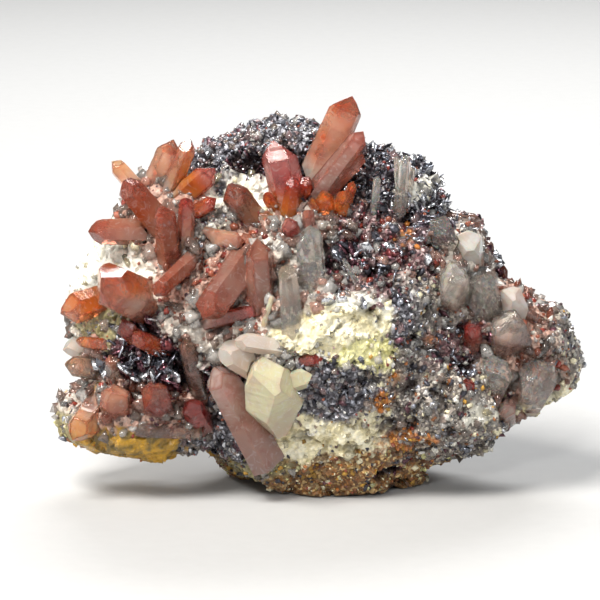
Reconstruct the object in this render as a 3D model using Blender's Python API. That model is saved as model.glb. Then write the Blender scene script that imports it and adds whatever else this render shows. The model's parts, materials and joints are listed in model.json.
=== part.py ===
"""Quartz on hematite: a hand specimen of hematite matrix with hematite-stained quartz grown on it.

Frame: metres, +Z up. The origin lies on the flat broken base that the specimen rests on, below the
middle of the rock. -Y is the crystal side and +X the side of the narrow horn. Sizes and places are
written in millimetres and turned into metres by MM.
"""

import math
import random

import bmesh
import bpy
from mathutils import Matrix, Vector, noise

MM = 0.001

# The rock: (middle), (full size) of each swelling, melted together on a grid.
LUMPS = {
    "heart": ((0, 0, 22), (46, 32, 44)),
    "foot": ((1, 1, 7.5), (34, 27, 18)),
    "foot_keel": ((2, 0, 4), (28, 22, 13)),
    "left_shoulder": ((-16, 0, 28), (28, 27, 30)),
    "left_wall": ((-24, -1, 22), (20, 22, 30)),
    "left_foot": ((-24, -4, 10), (22, 19, 12.5)),
    "crest": ((-6, 3, 37.5), (31, 22, 22.5)),
    "right_shoulder": ((7, 2, 35), (20, 22, 21)),
    "right_slope": ((14, 1, 26), (21, 23, 22)),
    "right_flank": ((13, -1, 13), (28, 25, 20)),
    "horn": ((23, 0, 18), (23, 18, 17)),
    "horn_tip": ((29.5, -1, 19.8), (10, 11, 8)),
}
LUMP_VOXEL = 0.8
BROAD_SWELL = (9.0, 1.6)      # spacing and depth of the rock's broad hollows
BLOCKY_CHIP = (3.6, 0.9)      # spacing and depth of its chips
SOFTENING = {"lumps": 12, "chips": 2}
MATRIX_TRIANGLES = 3900
CLEARANCE = 0.3               # gap between neighbouring solids

# Quartz habit: six sides, and six pyramid faces whose normals stand 51.8 degrees from the long axis.
SIDES = 6
PYRAMID_TILT = math.radians(51.8)
SIDE_SPREAD = (0.88, 1.08)    # each side's distance from the axis, over half the width
SIDE_LEAN = (0.5, 2.5)        # degrees that a side leans in towards the tip
MAJOR_SETBACK = (0.0, 0.10)   # how far every second pyramid face cuts below the tip, over the width
MINOR_SETBACK = (-0.14, 0.0)  # the smaller pyramid faces between them
ROOT = 3.0                    # how far a crystal is first made into the rock, before it is trimmed

# Broken, half-rounded grains: faces spread evenly round a middle by the golden angle.
CHUNK_FACES = 15
GOLDEN_ANGLE = math.radians(137.5)
CHUNK_WANDER = 0.4            # radians that a face strays round the axis
CHUNK_SPREAD = (0.82, 1.02)
CHUNK_MIDDLE = 0.4            # the middle's height over the length

STONES = {
    # name: (colour, roughness, metallic)
    "hematite_rock": ((0.17, 0.15, 0.17), 0.55, 0.35),
    "red_quartz": ((0.62, 0.16, 0.10), 0.15, 0.0),
    "amber_quartz": ((0.85, 0.40, 0.14), 0.12, 0.0),
    "salmon_quartz": ((0.72, 0.38, 0.30), 0.18, 0.0),
    "smoky_quartz": ((0.45, 0.34, 0.31), 0.18, 0.0),
    "clear_quartz": ((0.78, 0.76, 0.74), 0.12, 0.0),
    "cream_quartz": ((0.86, 0.80, 0.64), 0.35, 0.0),
}

# Each node: stone, then its crystals as (habit, foot, tip, width across, flatness, twist in degrees).
# A crystal's foot is where its axis leaves the rock. Crystals of one node have grown together.
CRYSTALS = {
    # The ruby spray and the crown along the crest
    "ruby_spray": ("red_quartz", [
        ("prism", (-4.5, -7.0, 40.5), (-6.4, -8.8, 49.2), 4.3, 1.0, 12),
        ("prism", (-4.5, -8.8, 38.8), (-3.9, -11.4, 44.4), 2.2, 1.0, 30),
        ("prism", (-6.2, -7.8, 39.2), (-7.8, -9.0, 41.8), 1.7, 1.0, 0),
        ("prism", (-2.8, -7.2, 41.0), (-1.8, -8.4, 44.0), 1.9, 1.0, 20),
    ]),
    "crown": ("amber_quartz", [
        ("prism", (0.2, -4.5, 45.0), (4.2, -4.7, 54.4), 4.4, 0.85, 10),
    ]),
    "crown_second": ("salmon_quartz", [
        ("prism", (-0.3, -7.0, 42.0), (5.6, -9.4, 50.4), 2.8, 1.0, 15),
        ("prism", (2.6, -7.4, 43.4), (5.6, -8.2, 46.9), 1.7, 1.0, 40),
    ]),
    "orange_cluster": ("amber_quartz", [
        ("prism", (1.0, -9.0, 38.8), (-0.2, -11.0, 42.6), 2.5, 1.0, 0),
        ("prism", (2.4, -8.8, 38.8), (3.2, -11.0, 42.6), 2.2, 1.0, 25),
        ("prism", (-0.4, -8.8, 38.6), (-1.4, -10.0, 41.4), 1.7, 1.0, 10),
        ("prism", (3.2, -8.6, 40.2), (4.2, -9.2, 43.4), 1.4, 1.0, 15),
    ]),
    "rosy_bud": ("red_quartz", [
        ("prism", (-4.0, -11.5, 36.4), (-4.7, -14.0, 39.2), 2.2, 1.0, 5),
    ]),
    "rosy_sliver": ("salmon_quartz", [
        ("prism", (-1.7, -10.4, 37.2), (-1.9, -12.0, 40.2), 1.6, 1.0, 35),
    ]),
    # The fan at the upper left
    "fan_outrigger": ("amber_quartz", [
        ("prism", (-24.0, -1.0, 39.5), (-28.6, 0.4, 44.6), 2.3, 1.0, 0),
    ]),
    "fan_twins": ("amber_quartz", [
        ("prism", (-22.8, -2.6, 40.5), (-19.8, -3.8, 48.2), 3.3, 0.9, 20),
        ("prism", (-20.6, -4.4, 40.8), (-17.6, -6.0, 48.6), 2.6, 1.0, 0),
    ]),
    "fan_ruby_tip": ("red_quartz", [
        ("prism", (-18.8, -5.6, 40.6), (-14.2, -7.4, 45.0), 3.0, 0.8, 20),
    ]),
    "fan_big_red": ("salmon_quartz", [
        ("prism", (-21.8, -9.6, 37.8), (-26.6, -13.6, 44.6), 3.5, 0.9, 8),
    ]),
    "fan_left_point": ("salmon_quartz", [
        ("prism", (-24.2, -8.5, 36.4), (-31.6, -10.6, 36.8), 3.6, 0.95, 0),
    ]),
    "fan_upright": ("salmon_quartz", [
        ("prism", (-20.5, -11.5, 34.2), (-21.0, -15.4, 41.4), 3.2, 1.0, 0),
    ]),
    "fan_sprig": ("red_quartz", [
        ("prism", (-18.3, -10.8, 35.6), (-18.0, -12.8, 42.0), 2.3, 1.0, 20),
    ]),
    "fan_dart": ("red_quartz", [
        ("prism", (-18.2, -9.0, 38.2), (-14.0, -10.2, 41.2), 2.0, 1.0, 10),
    ]),
    "pitted_crystal": ("salmon_quartz", [
        ("prism", (-9.4, -8.2, 37.8), (-12.6, -12.4, 43.4), 3.6, 0.9, 15),
        ("prism", (-9.6, -8.6, 38.2), (-6.4, -9.4, 38.8), 1.4, 1.0, 0),
    ]),
    "striated_plate": ("salmon_quartz", [
        ("prism", (-15.6, -10.4, 36.2), (-10.2, -13.0, 35.8), 2.3, 0.6, 0),
    ]),
    # The left edge
    "phantom_eye": ("amber_quartz", [
        ("prism", (-24.5, -11.0, 27.8), (-29.6, -18.6, 32.0), 6.2, 0.9, 18),
    ]),
    "left_glint": ("amber_quartz", [
        ("prism", (-30.4, -8.4, 26.6), (-35.2, -11.2, 25.8), 3.7, 0.9, 10),
    ]),
    "garnet_beads": ("red_quartz", [
        ("prism", (-25.0, -11.5, 22.6), (-27.0, -14.6, 25.4), 2.5, 1.0, 0),
        ("prism", (-22.0, -12.2, 21.4), (-25.4, -15.2, 23.6), 2.5, 0.9, 15),
    ]),
    "salmon_lean": ("salmon_quartz", [
        ("prism", (-18.0, -12.5, 33.0), (-22.6, -17.4, 29.4), 2.5, 1.0, 0),
    ]),
    "left_splinter": ("amber_quartz", [
        ("prism", (-28.5, -10.3, 21.2), (-33.2, -11.2, 22.0), 1.6, 0.7, 0),
    ]),
    "left_wedge": ("cream_quartz", [
        ("prism", (-31.6, -5.0, 20.2), (-35.4, -5.8, 19.4), 2.8, 0.7, 30),
    ]),
    "pale_stub": ("smoky_quartz", [
        ("prism", (-30.5, -8.0, 17.4), (-34.7, -10.4, 18.6), 2.8, 1.0, 0),
    ]),
    "amber_post": ("smoky_quartz", [
        ("prism", (-27.6, -10.6, 16.4), (-28.4, -12.6, 20.6), 2.0, 1.0, 0),
    ]),
    # The lower left
    "hex_stub": ("salmon_quartz", [
        ("prism", (-27.3, -12.2, 13.0), (-28.0, -17.2, 16.4), 4.0, 1.0, 0),
    ]),
    "dark_eye": ("red_quartz", [
        ("prism", (-22.0, -12.5, 13.6), (-22.6, -16.8, 16.6), 4.3, 0.9, 15),
    ]),
    "honey_plate": ("amber_quartz", [
        ("prism", (-30.0, -9.0, 12.8), (-33.4, -14.0, 8.6), 4.4, 0.8, 10),
    ]),
    "low_prism": ("smoky_quartz", [
        ("prism", (-19.4, -12.4, 10.0), (-25.6, -14.6, 10.6), 2.3, 1.0, 30),
    ]),
    "garnet_low": ("red_quartz", [
        ("prism", (-16.6, -11.6, 11.2), (-17.8, -15.0, 14.6), 2.9, 1.0, 10),
    ]),
    "smoky_post": ("smoky_quartz", [
        ("prism", (-17.0, -11.6, 17.0), (-18.4, -14.8, 23.2), 2.6, 1.0, 0),
    ]),
    # The middle of the crystal side
    "centre_pair": ("salmon_quartz", [
        ("prism", (-10.6, -12.2, 33.0), (-16.0, -19.8, 26.8), 4.6, 0.8, 20),
        ("prism", (-8.2, -14.0, 29.6), (-8.6, -15.6, 37.0), 4.2, 0.8, 0),
    ]),
    "centre_dart": ("red_quartz", [
        ("prism", (-13.0, -14.0, 25.6), (-7.8, -15.8, 27.4), 1.9, 0.9, 0),
    ]),
    "frosted_column": ("clear_quartz", [
        ("prism", (-1.4, -13.4, 31.0), (-2.0, -15.2, 38.8), 4.2, 0.9, 10),
    ]),
    "clear_prism": ("clear_quartz", [
        ("prism", (-3.9, -15.8, 24.6), (-4.7, -18.0, 34.2), 3.4, 0.9, 25),
    ]),
    "gold_needle": ("cream_quartz", [
        ("prism", (-8.2, -15.6, 23.6), (-6.6, -17.8, 29.6), 0.8, 1.0, 0),
    ]),
    "rose_log": ("salmon_quartz", [
        ("prism", (-8.8, -12.4, 7.8), (-14.6, -16.0, 19.8), 5.0, 0.8, 10),
    ]),
    "sulphur_chunk": ("cream_quartz", [
        ("chunk", (-6.6, -13.4, 13.0), (-7.4, -18.0, 19.4), 5.6, 0.9, 10),
        ("prism", (-5.6, -15.0, 16.8), (-1.2, -17.6, 18.8), 2.6, 0.8, 0),
    ]),
    "sugar_block": ("cream_quartz", [
        ("prism", (-9.6, -15.0, 19.6), (-13.8, -18.2, 22.8), 3.6, 0.9, 0),
        ("prism", (-6.2, -16.0, 22.2), (-11.8, -18.2, 23.6), 2.4, 0.8, 20),
    ]),
    "lower_red": ("red_quartz", [
        ("prism", (-3.6, -15.4, 20.0), (0.2, -17.6, 21.0), 1.8, 1.0, 0),
    ]),
    # The right flank, towards the horn
    "silver_blade": ("clear_quartz", [
        ("prism", (5.2, -14.8, 29.4), (2.7, -16.6, 34.4), 1.0, 0.5, 20),
    ]),
    "thin_finger": ("clear_quartz", [
        ("prism", (7.0, -8.6, 39.0), (7.3, -9.8, 44.2), 1.2, 1.0, 0),
    ]),
    "thin_spray": ("clear_quartz", [
        ("prism", (10.5, -7.8, 40.8), (11.2, -8.2, 46.9), 1.7, 1.0, 0),
        ("prism", (10.2, -7.4, 41.4), (9.9, -7.6, 46.6), 0.9, 1.0, 0),
        ("prism", (11.6, -7.0, 41.4), (12.1, -6.8, 44.9), 1.0, 1.0, 0),
    ]),
    "right_clear": ("clear_quartz", [
        ("chunk", (16.4, -7.2, 34.2), (15.8, -9.6, 37.6), 2.9, 1.0, 0),
    ]),
    "right_cream": ("cream_quartz", [
        ("chunk", (19.8, -5.3, 31.4), (19.5, -7.6, 35.2), 3.3, 0.9, 0),
    ]),
    "right_grey": ("smoky_quartz", [
        ("chunk", (17.6, -9.2, 27.0), (17.4, -12.6, 31.6), 3.6, 1.0, 30),
    ]),
    "right_white": ("clear_quartz", [
        ("chunk", (22.0, -7.3, 25.0), (21.6, -10.2, 29.6), 3.8, 0.9, 0),
    ]),
    "right_cap": ("cream_quartz", [
        ("chunk", (26.0, -6.0, 24.0), (25.2, -7.8, 28.2), 2.8, 0.9, 10),
    ]),
    "right_garnet": ("red_quartz", [
        ("prism", (20.4, -8.8, 21.0), (20.0, -11.6, 24.6), 2.5, 1.0, 0),
    ]),
    "right_smoky": ("smoky_quartz", [
        ("chunk", (25.0, -7.8, 20.8), (24.8, -12.0, 24.4), 4.6, 0.9, 0),
    ]),
    "right_glass": ("clear_quartz", [
        ("chunk", (23.4, -8.8, 15.6), (23.4, -12.6, 18.8), 3.5, 1.0, 20),
    ]),
    "right_red": ("red_quartz", [
        ("prism", (19.8, -10.4, 14.6), (19.4, -13.4, 17.0), 1.9, 1.0, 0),
    ]),
    "horn_clear": ("clear_quartz", [
        ("chunk", (28.0, -6.3, 13.4), (29.0, -10.0, 17.4), 4.8, 0.9, 40),
    ]),
    "horn_pink": ("salmon_quartz", [
        ("prism", (24.8, -8.0, 11.4), (24.6, -11.6, 13.4), 2.6, 1.0, 0),
    ]),
    # The back
    "back_fan": ("salmon_quartz", [
        ("prism", (-17.0, 10.6, 33.0), (-21.6, 16.4, 38.2), 3.2, 0.9, 0),
        ("prism", (-16.0, 11.4, 32.4), (-17.6, 18.0, 36.6), 2.4, 1.0, 20),
    ]),
    "back_amber": ("amber_quartz", [
        ("prism", (-8.0, 12.6, 38.6), (-9.4, 17.4, 44.4), 2.8, 1.0, 10),
    ]),
    "back_clear": ("clear_quartz", [
        ("prism", (3.0, 14.0, 32.0), (5.4, 19.6, 36.2), 3.0, 0.9, 0),
    ]),
    "back_smoky": ("smoky_quartz", [
        ("prism", (-23.0, 8.4, 19.0), (-27.8, 13.2, 21.4), 3.4, 0.9, 0),
    ]),
    "back_red": ("red_quartz", [
        ("prism", (14.0, 11.0, 27.0), (17.2, 15.6, 30.8), 2.4, 1.0, 0),
    ]),
    "back_chunk": ("cream_quartz", [
        ("chunk", (8.0, 13.6, 19.6), (10.4, 18.0, 20.6), 4.4, 0.9, 0),
    ]),
}


def clear_scene():
    for found in list(bpy.data.objects):
        bpy.data.objects.remove(found, do_unlink=True)


def stone_material(name):
    colour, roughness, metallic = STONES[name]
    material = bpy.data.materials.get(name) or bpy.data.materials.new(name)
    material.use_nodes = True
    material.diffuse_color = (*colour, 1.0)
    surface = material.node_tree.nodes["Principled BSDF"]
    surface.inputs["Base Color"].default_value = (*colour, 1.0)
    surface.inputs["Roughness"].default_value = roughness
    surface.inputs["Metallic"].default_value = metallic
    return material


def new_object(name, shape):
    mesh = bpy.data.meshes.new(name)
    shape.to_mesh(mesh)
    shape.free()
    made = bpy.data.objects.new(name, mesh)
    bpy.context.scene.collection.objects.link(made)
    return made


def hidden(helper):
    helper.hide_render = True
    helper.display_type = "WIRE"
    return helper


def evaluated_mesh(obj):
    graph = bpy.context.evaluated_depsgraph_get()
    graph.update()
    return bpy.data.meshes.new_from_object(obj.evaluated_get(graph))


def combine(obj, operation, other):
    boolean = obj.modifiers.new(f"{operation.lower()}_{other.name}"[:60], "BOOLEAN")
    boolean.operation = operation
    boolean.solver = "EXACT"
    boolean.object = other


# ---------------------------------------------------------------- the rock

def melted_lumps():
    shape = bmesh.new()
    for middle, size in LUMPS.values():
        place = Matrix.Translation(Vector(middle) * MM) @ Matrix.Diagonal((*Vector(size) * MM, 1))
        bmesh.ops.create_icosphere(shape, subdivisions=4, radius=0.5, matrix=place)
    rock = new_object("hematite_matrix", shape)
    melt(rock, SOFTENING["lumps"])
    return rock


def melt(rock, soften_rounds):
    fuse = rock.modifiers.new("fuse", "REMESH")
    fuse.mode = "VOXEL"
    fuse.voxel_size = LUMP_VOXEL * MM
    soften = rock.modifiers.new("soften", "SMOOTH")
    soften.iterations = soften_rounds
    rock.data = evaluated_mesh(rock)
    rock.modifiers.clear()


def roughen(rock):
    """Moves the surface in and out as broken rock does, then thins the mesh to its flat facets."""
    for spacing, depth in (BROAD_SWELL, BLOCKY_CHIP):
        rock.data.update()
        for vertex in rock.data.vertices:
            vertex.co += vertex.normal * noise.noise(vertex.co / MM / spacing) * depth * MM
    melt(rock, SOFTENING["chips"])
    thin = rock.modifiers.new("thin", "DECIMATE")
    thin.ratio = MATRIX_TRIANGLES / (2 * len(rock.data.polygons))
    rock.data = evaluated_mesh(rock)
    rock.modifiers.clear()


def slice_off(shape, point, outward):
    """Cuts a closed convex or bulging shape on a plane and closes it again."""
    everything = shape.verts[:] + shape.edges[:] + shape.faces[:]
    cut = bmesh.ops.bisect_plane(
        shape, geom=everything, plane_co=point, plane_no=outward, clear_outer=True
    )
    rim = [part for part in cut["geom_cut"] if isinstance(part, bmesh.types.BMEdge)]
    if rim:
        bmesh.ops.holes_fill(shape, edges=rim)


def break_base_flat(rock):
    shape = bmesh.new()
    shape.from_mesh(rock.data)
    slice_off(shape, Vector((0, 0, 0)), Vector((0, 0, -1)))
    bmesh.ops.recalc_face_normals(shape, faces=shape.faces[:])
    shape.to_mesh(rock.data)
    shape.free()


def build_rock():
    rock = melted_lumps()
    roughen(rock)
    break_base_flat(rock)
    rock.data.materials.clear()
    rock.data.materials.append(stone_material("hematite_rock"))
    return rock


def build_shell(rock):
    """The rock grown by the clearance. Every crystal is trimmed to it, so each root follows the rock."""
    shape = bmesh.new()
    shape.from_mesh(rock.data)
    shape.normal_update()
    for vertex in shape.verts:
        vertex.co += vertex.normal * CLEARANCE * MM
    return hidden(new_object("rock_shell", shape))


# ---------------------------------------------------------------- the quartz

def prism_planes(length, width, flat, rng):
    """Sides that lean in a little, and pyramid faces of unequal size: a point and a normal for each."""
    tip = Vector((0, 0, length))
    for side in range(SIDES):
        around = math.tau * side / SIDES
        across = Vector((math.cos(around), math.sin(around), 0))
        lean = math.radians(rng.uniform(*SIDE_LEAN))
        reach = width / 2 * rng.uniform(*SIDE_SPREAD) * (flat if side % 3 == 0 else 1)
        yield across * reach, across * math.cos(lean) + Vector((0, 0, math.sin(lean)))
        slope = across * math.sin(PYRAMID_TILT) + Vector((0, 0, math.cos(PYRAMID_TILT)))
        setback = rng.uniform(*(MAJOR_SETBACK if side % 2 else MINOR_SETBACK))
        yield tip - slope * setback * width, slope


def chunk_planes(length, width, flat, rng):
    """Uneven faces all round, fewer below: a point and a normal for each."""
    middle = Vector((0, 0, length * CHUNK_MIDDLE))
    for k in range(CHUNK_FACES):
        height = 1 - 1.6 * (k + 0.5) / CHUNK_FACES
        ring = math.sqrt(1 - height * height)
        around = k * GOLDEN_ANGLE + rng.uniform(-CHUNK_WANDER, CHUNK_WANDER)
        normal = Vector((ring * math.cos(around) / flat, ring * math.sin(around), height)).normalized()
        reach = width / 2 * ring + length * (1 - CHUNK_MIDDLE) * abs(height)
        yield middle + normal * reach * rng.uniform(*CHUNK_SPREAD), normal


HABITS = {"prism": prism_planes, "chunk": chunk_planes}


def grown_crystal(name, habit, foot, tip, width, flat, twist, grow=0.0):
    """One crystal cut plane by plane from a block, standing on the line from foot to tip."""
    rng = random.Random(f"{foot}{tip}")
    axis = Vector(tip) - Vector(foot)
    length = axis.length
    shape = bmesh.new()
    block_height = (length + ROOT) * 1.4
    middle = Matrix.Translation(Vector((0, 0, (length - ROOT) / 2 * MM)))
    block = Matrix.Diagonal((width * 2 * MM, width * 2 * MM, block_height * MM, 1))
    bmesh.ops.create_cube(shape, size=1, matrix=middle @ block)
    for point, normal in HABITS[habit](length, width, flat, rng):
        slice_off(shape, (point + normal * grow) * MM, normal)
    slice_off(shape, Vector((0, 0, -(ROOT + grow))) * MM, Vector((0, 0, -1)))
    bmesh.ops.recalc_face_normals(shape, faces=shape.faces[:])
    made = new_object(name, shape)
    turn = axis.to_track_quat("Z", "Y").to_matrix().to_4x4() @ Matrix.Rotation(math.radians(twist), 4, "Z")
    made.matrix_world = Matrix.Translation(Vector(foot) * MM) @ turn
    return made


def world_box(obj):
    corners = [obj.matrix_world @ Vector(corner) for corner in obj.bound_box]
    return [(min(axis), max(axis)) for axis in zip(*corners)]


def boxes_meet(first, second):
    return all(a[0] < b[1] and b[0] < a[1] for a, b in zip(world_box(first), world_box(second)))


def build_crystals(shell):
    """Each node is its crystals joined, cut back from the crystals that grew before it and from the rock."""
    earlier = []
    for name, (stone, crystals) in CRYSTALS.items():
        grown = [grown_crystal(name if not k else f"{name}_mate{k}", *row) for k, row in enumerate(crystals)]
        room = [
            hidden(grown_crystal(f"{name}_room{k}" if k else f"{name}_room", *row, grow=CLEARANCE))
            for k, row in enumerate(crystals)
        ]
        bpy.context.view_layer.update()
        node = grown[0]
        for mate in grown[1:]:
            combine(node, "UNION", hidden(mate))
        for neighbour in earlier:
            if any(boxes_meet(own, neighbour) for own in grown):
                combine(node, "DIFFERENCE", neighbour)
        combine(node, "DIFFERENCE", shell)
        node.data.materials.append(stone_material(stone))
        earlier += room


clear_scene()
rock = build_rock()
build_crystals(build_shell(rock))
print(len(CRYSTALS) + 1, "nodes; the matrix has", len(rock.data.polygons), "faces")
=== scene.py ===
# %% [markdown]
# # Quartz on hematite
# A lump of hematite rock as long as a thumb, with fans of stained quartz crystals grown on one side.
# The solid model already holds the true size: one rock and its fifty-nine crystals. This lesson gives
# each of them its finish, and grows on the rock the thousands of small things that make it sparkle.

# %% Load the solid model
import json
import math
import random

import bmesh
import bpy
import numpy as np
from mathutils import Matrix, Quaternion, Vector, bvhtree, noise


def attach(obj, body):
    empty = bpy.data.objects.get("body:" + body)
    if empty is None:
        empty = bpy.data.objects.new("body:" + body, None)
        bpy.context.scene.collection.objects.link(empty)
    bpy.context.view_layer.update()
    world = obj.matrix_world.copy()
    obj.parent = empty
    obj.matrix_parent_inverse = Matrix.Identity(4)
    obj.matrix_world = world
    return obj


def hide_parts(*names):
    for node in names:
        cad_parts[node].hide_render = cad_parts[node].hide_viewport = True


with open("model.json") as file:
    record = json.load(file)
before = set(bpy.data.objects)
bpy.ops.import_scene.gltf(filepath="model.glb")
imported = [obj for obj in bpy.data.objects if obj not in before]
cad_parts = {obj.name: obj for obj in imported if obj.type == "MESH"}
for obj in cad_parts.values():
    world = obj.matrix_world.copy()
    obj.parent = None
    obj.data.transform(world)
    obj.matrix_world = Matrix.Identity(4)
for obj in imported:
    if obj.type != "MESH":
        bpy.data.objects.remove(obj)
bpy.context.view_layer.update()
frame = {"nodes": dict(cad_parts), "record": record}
NODES = frame["nodes"]
MM = 0.001

# %% [markdown]
# ## Camera
# The specimen is held at arm's length and seen a little from above. A long lens from 600 mm away keeps
# the crystals' true proportions. The focal length follows from the width of the view.

# %% Camera
VIEW_TARGET = Vector((-3.0, -10.0, 27.3)) * MM
VIEW_WIDTH = 80.4 * MM
VIEW_DISTANCE = 0.6
VIEW_ELEVATION = math.radians(12)

camera_data = bpy.data.cameras.new("camera")
camera = bpy.data.objects.new("camera", camera_data)
bpy.context.scene.collection.objects.link(camera)
towards_camera = Vector((0, -math.cos(VIEW_ELEVATION), math.sin(VIEW_ELEVATION)))
camera.location = VIEW_TARGET + towards_camera * VIEW_DISTANCE
camera.rotation_mode = "QUATERNION"
camera.rotation_quaternion = (-towards_camera).to_track_quat("-Z", "Y")
camera_data.sensor_width = 36
camera_data.lens = camera_data.sensor_width * VIEW_DISTANCE / VIEW_WIDTH
camera_data.clip_start = 0.02
bpy.context.scene.camera = camera
print("lens", round(camera_data.lens), "mm")

# %% [markdown]
# ## Light
# Quartz lives on its highlights, so the lamps are soft boxes: a big key at the upper left, a
# weaker fill on the right, and one behind the crystals that shines through them. A small bright
# lamp beside the camera makes the flakes and facets glint.

# %% Lamps and surroundings
def softbox(name, place, size, watts, tint=(1, 1, 1)):
    lamp = bpy.data.lights.new(name, "AREA")
    lamp.shape = "RECTANGLE"
    lamp.size, lamp.size_y = size
    lamp.energy = watts
    lamp.color = tint
    made = bpy.data.objects.new(name, lamp)
    bpy.context.scene.collection.objects.link(made)
    made.location = place
    made.rotation_mode = "QUATERNION"
    made.rotation_quaternion = (VIEW_TARGET - made.location).to_track_quat("-Z", "Y")
    return made


softbox("key", Vector((-0.20, -0.26, 0.50)), (0.24, 0.24), 5.8, (1.0, 0.97, 0.93))
softbox("side", Vector((-0.52, -0.16, 0.20)), (0.10, 0.40), 1.2, (1.0, 0.97, 0.92))
softbox("fill", Vector((0.50, -0.36, 0.26)), (0.16, 0.40), 1.0, (0.94, 0.97, 1.0))
softbox("back", Vector((0.06, 0.40, 0.40)), (0.40, 0.20), 3.4)
softbox("glint", Vector((-0.05, -0.62, 0.36)), (0.06, 0.06), 1.3)

world = bpy.data.worlds.new("studio")
world.use_nodes = True
world.node_tree.nodes["Background"].inputs["Color"].default_value = (0.80, 0.86, 0.95, 1)
world.node_tree.nodes["Background"].inputs["Strength"].default_value = 0.14
bpy.context.scene.world = world
bpy.context.scene.view_settings.view_transform = "Standard"
bpy.context.scene.view_settings.look = "None"

# %% [markdown]
# ## Working by hand, in code
# Operators act on whatever is selected, so each step starts from nothing selected and one object
# active. These helpers keep that in one place.

# %% Selecting and finishing
def only(obj):
    if bpy.context.object and bpy.context.object.mode != "OBJECT":
        bpy.ops.object.mode_set(mode="OBJECT")
    bpy.ops.object.select_all(action="DESELECT")
    obj.select_set(True)
    bpy.context.view_layer.objects.active = obj
    return obj


def edit(obj, select="SELECT"):
    only(obj)
    bpy.ops.object.mode_set(mode="EDIT")
    bpy.ops.mesh.select_mode(type="VERT")
    bpy.ops.mesh.select_all(action=select)


def leave_edit():
    bpy.ops.object.mode_set(mode="OBJECT")


def apply_modifier(obj, kind, **values):
    only(obj)
    modifier = obj.modifiers.new(kind.lower(), kind)
    for key, value in values.items():
        setattr(modifier, key, value)
    bpy.ops.object.modifier_apply(modifier=modifier.name)


def copy_of_node(node, name):
    """A merged copy of a solid, ready to be refined. The solid itself stays as it is."""
    made = bpy.data.objects.new(name, NODES[node].data.copy())
    bpy.context.scene.collection.objects.link(made)
    edit(made)
    bpy.ops.mesh.remove_doubles(threshold=1e-6)
    leave_edit()
    return made


def paint(obj, name, values, kind="FLOAT"):
    """Stores one value for each point, which a material reads by its name."""
    layer = obj.data.attributes.new(name, kind, "POINT")
    layer.data.foreach_set("color" if kind == "FLOAT_COLOR" else "value", np.asarray(values).ravel())


def points_of(obj):
    places = np.empty(len(obj.data.vertices) * 3)
    obj.data.vertices.foreach_get("co", places)
    return places.reshape(-1, 3)


def normals_of(obj):
    directions = np.empty(len(obj.data.vertices) * 3)
    obj.data.vertices.foreach_get("normal", directions)
    return directions.reshape(-1, 3)


def put_points(obj, places):
    obj.data.vertices.foreach_set("co", places.ravel())
    obj.data.update()


def settle(obj, material, slot, *replaced):
    """The last step for every piece: its material, its body, and the solids it stands for."""
    obj.data.materials.clear()
    obj.data.materials.append(material)
    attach(obj, "root")
    if replaced:
        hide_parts(*replaced)
    return obj


# %% [markdown]
# ## Nodes in a few words
# Materials are graphs. These helpers make a node, set its values and link it in one line, and make
# a group with named inputs and outputs, which several materials then share.

# %% Node helpers
def add_node(tree, kind, links=None, **values):
    """Adds a node. values are its settings or input values, links are sockets to plug in."""
    made = tree.nodes.new(kind)
    for key, value in values.items():
        if hasattr(made, key) and key not in made.inputs:
            setattr(made, key, value)
        else:
            made.inputs[key.replace("_", " ")].default_value = value
    for socket, source in (links or {}).items():
        tree.links.new(source, made.inputs[socket])
    return made


def new_group(name, inputs, outputs):
    group = bpy.data.node_groups.new(name, "ShaderNodeTree")
    for label, kind, default in inputs:
        socket = group.interface.new_socket(name=label, in_out="INPUT", socket_type=kind)
        if default is not None:
            socket.default_value = default
    for label, kind in outputs:
        group.interface.new_socket(name=label, in_out="OUTPUT", socket_type=kind)
    return group, group.nodes.new("NodeGroupInput"), group.nodes.new("NodeGroupOutput")


def use_group(tree, group, links=None, **values):
    made = tree.nodes.new("ShaderNodeGroup")
    made.node_tree = group
    for key, value in values.items():
        made.inputs[key.replace("_", " ")].default_value = value
    for socket, source in (links or {}).items():
        tree.links.new(source, made.inputs[socket])
    return made


def ramp(tree, source, low, high, to_low=0.0, to_high=1.0):
    made = add_node(tree, "ShaderNodeMapRange", {"Value": source}, interpolation_type="SMOOTHSTEP")
    for socket, value in zip(("From Min", "From Max", "To Min", "To Max"), (low, high, to_low, to_high)):
        made.inputs[socket].default_value = value
    return made.outputs["Result"]


def blend_colours(tree, factor, first, second, mode="MIX"):
    made = tree.nodes.new("ShaderNodeMix")
    made.data_type = "RGBA"
    made.blend_type = mode
    for socket, value in ((made.inputs[0], factor), (made.inputs[6], first), (made.inputs[7], second)):
        if isinstance(value, (int, float)):
            socket.default_value = value
        elif isinstance(value, tuple):
            socket.default_value = (*value, 1) if len(value) == 3 else value
        else:
            tree.links.new(value, socket)
    return made.outputs[2]


def new_material(name):
    material = bpy.data.materials.new(name)
    material.use_nodes = True
    tree = material.node_tree
    return material, tree, tree.nodes["Principled BSDF"], tree.nodes["Material Output"]


# %% [markdown]
# ## Floor
# A plain pale sheet, large enough that its edge is never seen. Paper isn't one flat grey, so a
# faint tooth breaks its surface.

# %% Floor
FLOOR_SIZE = 6.0

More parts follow.
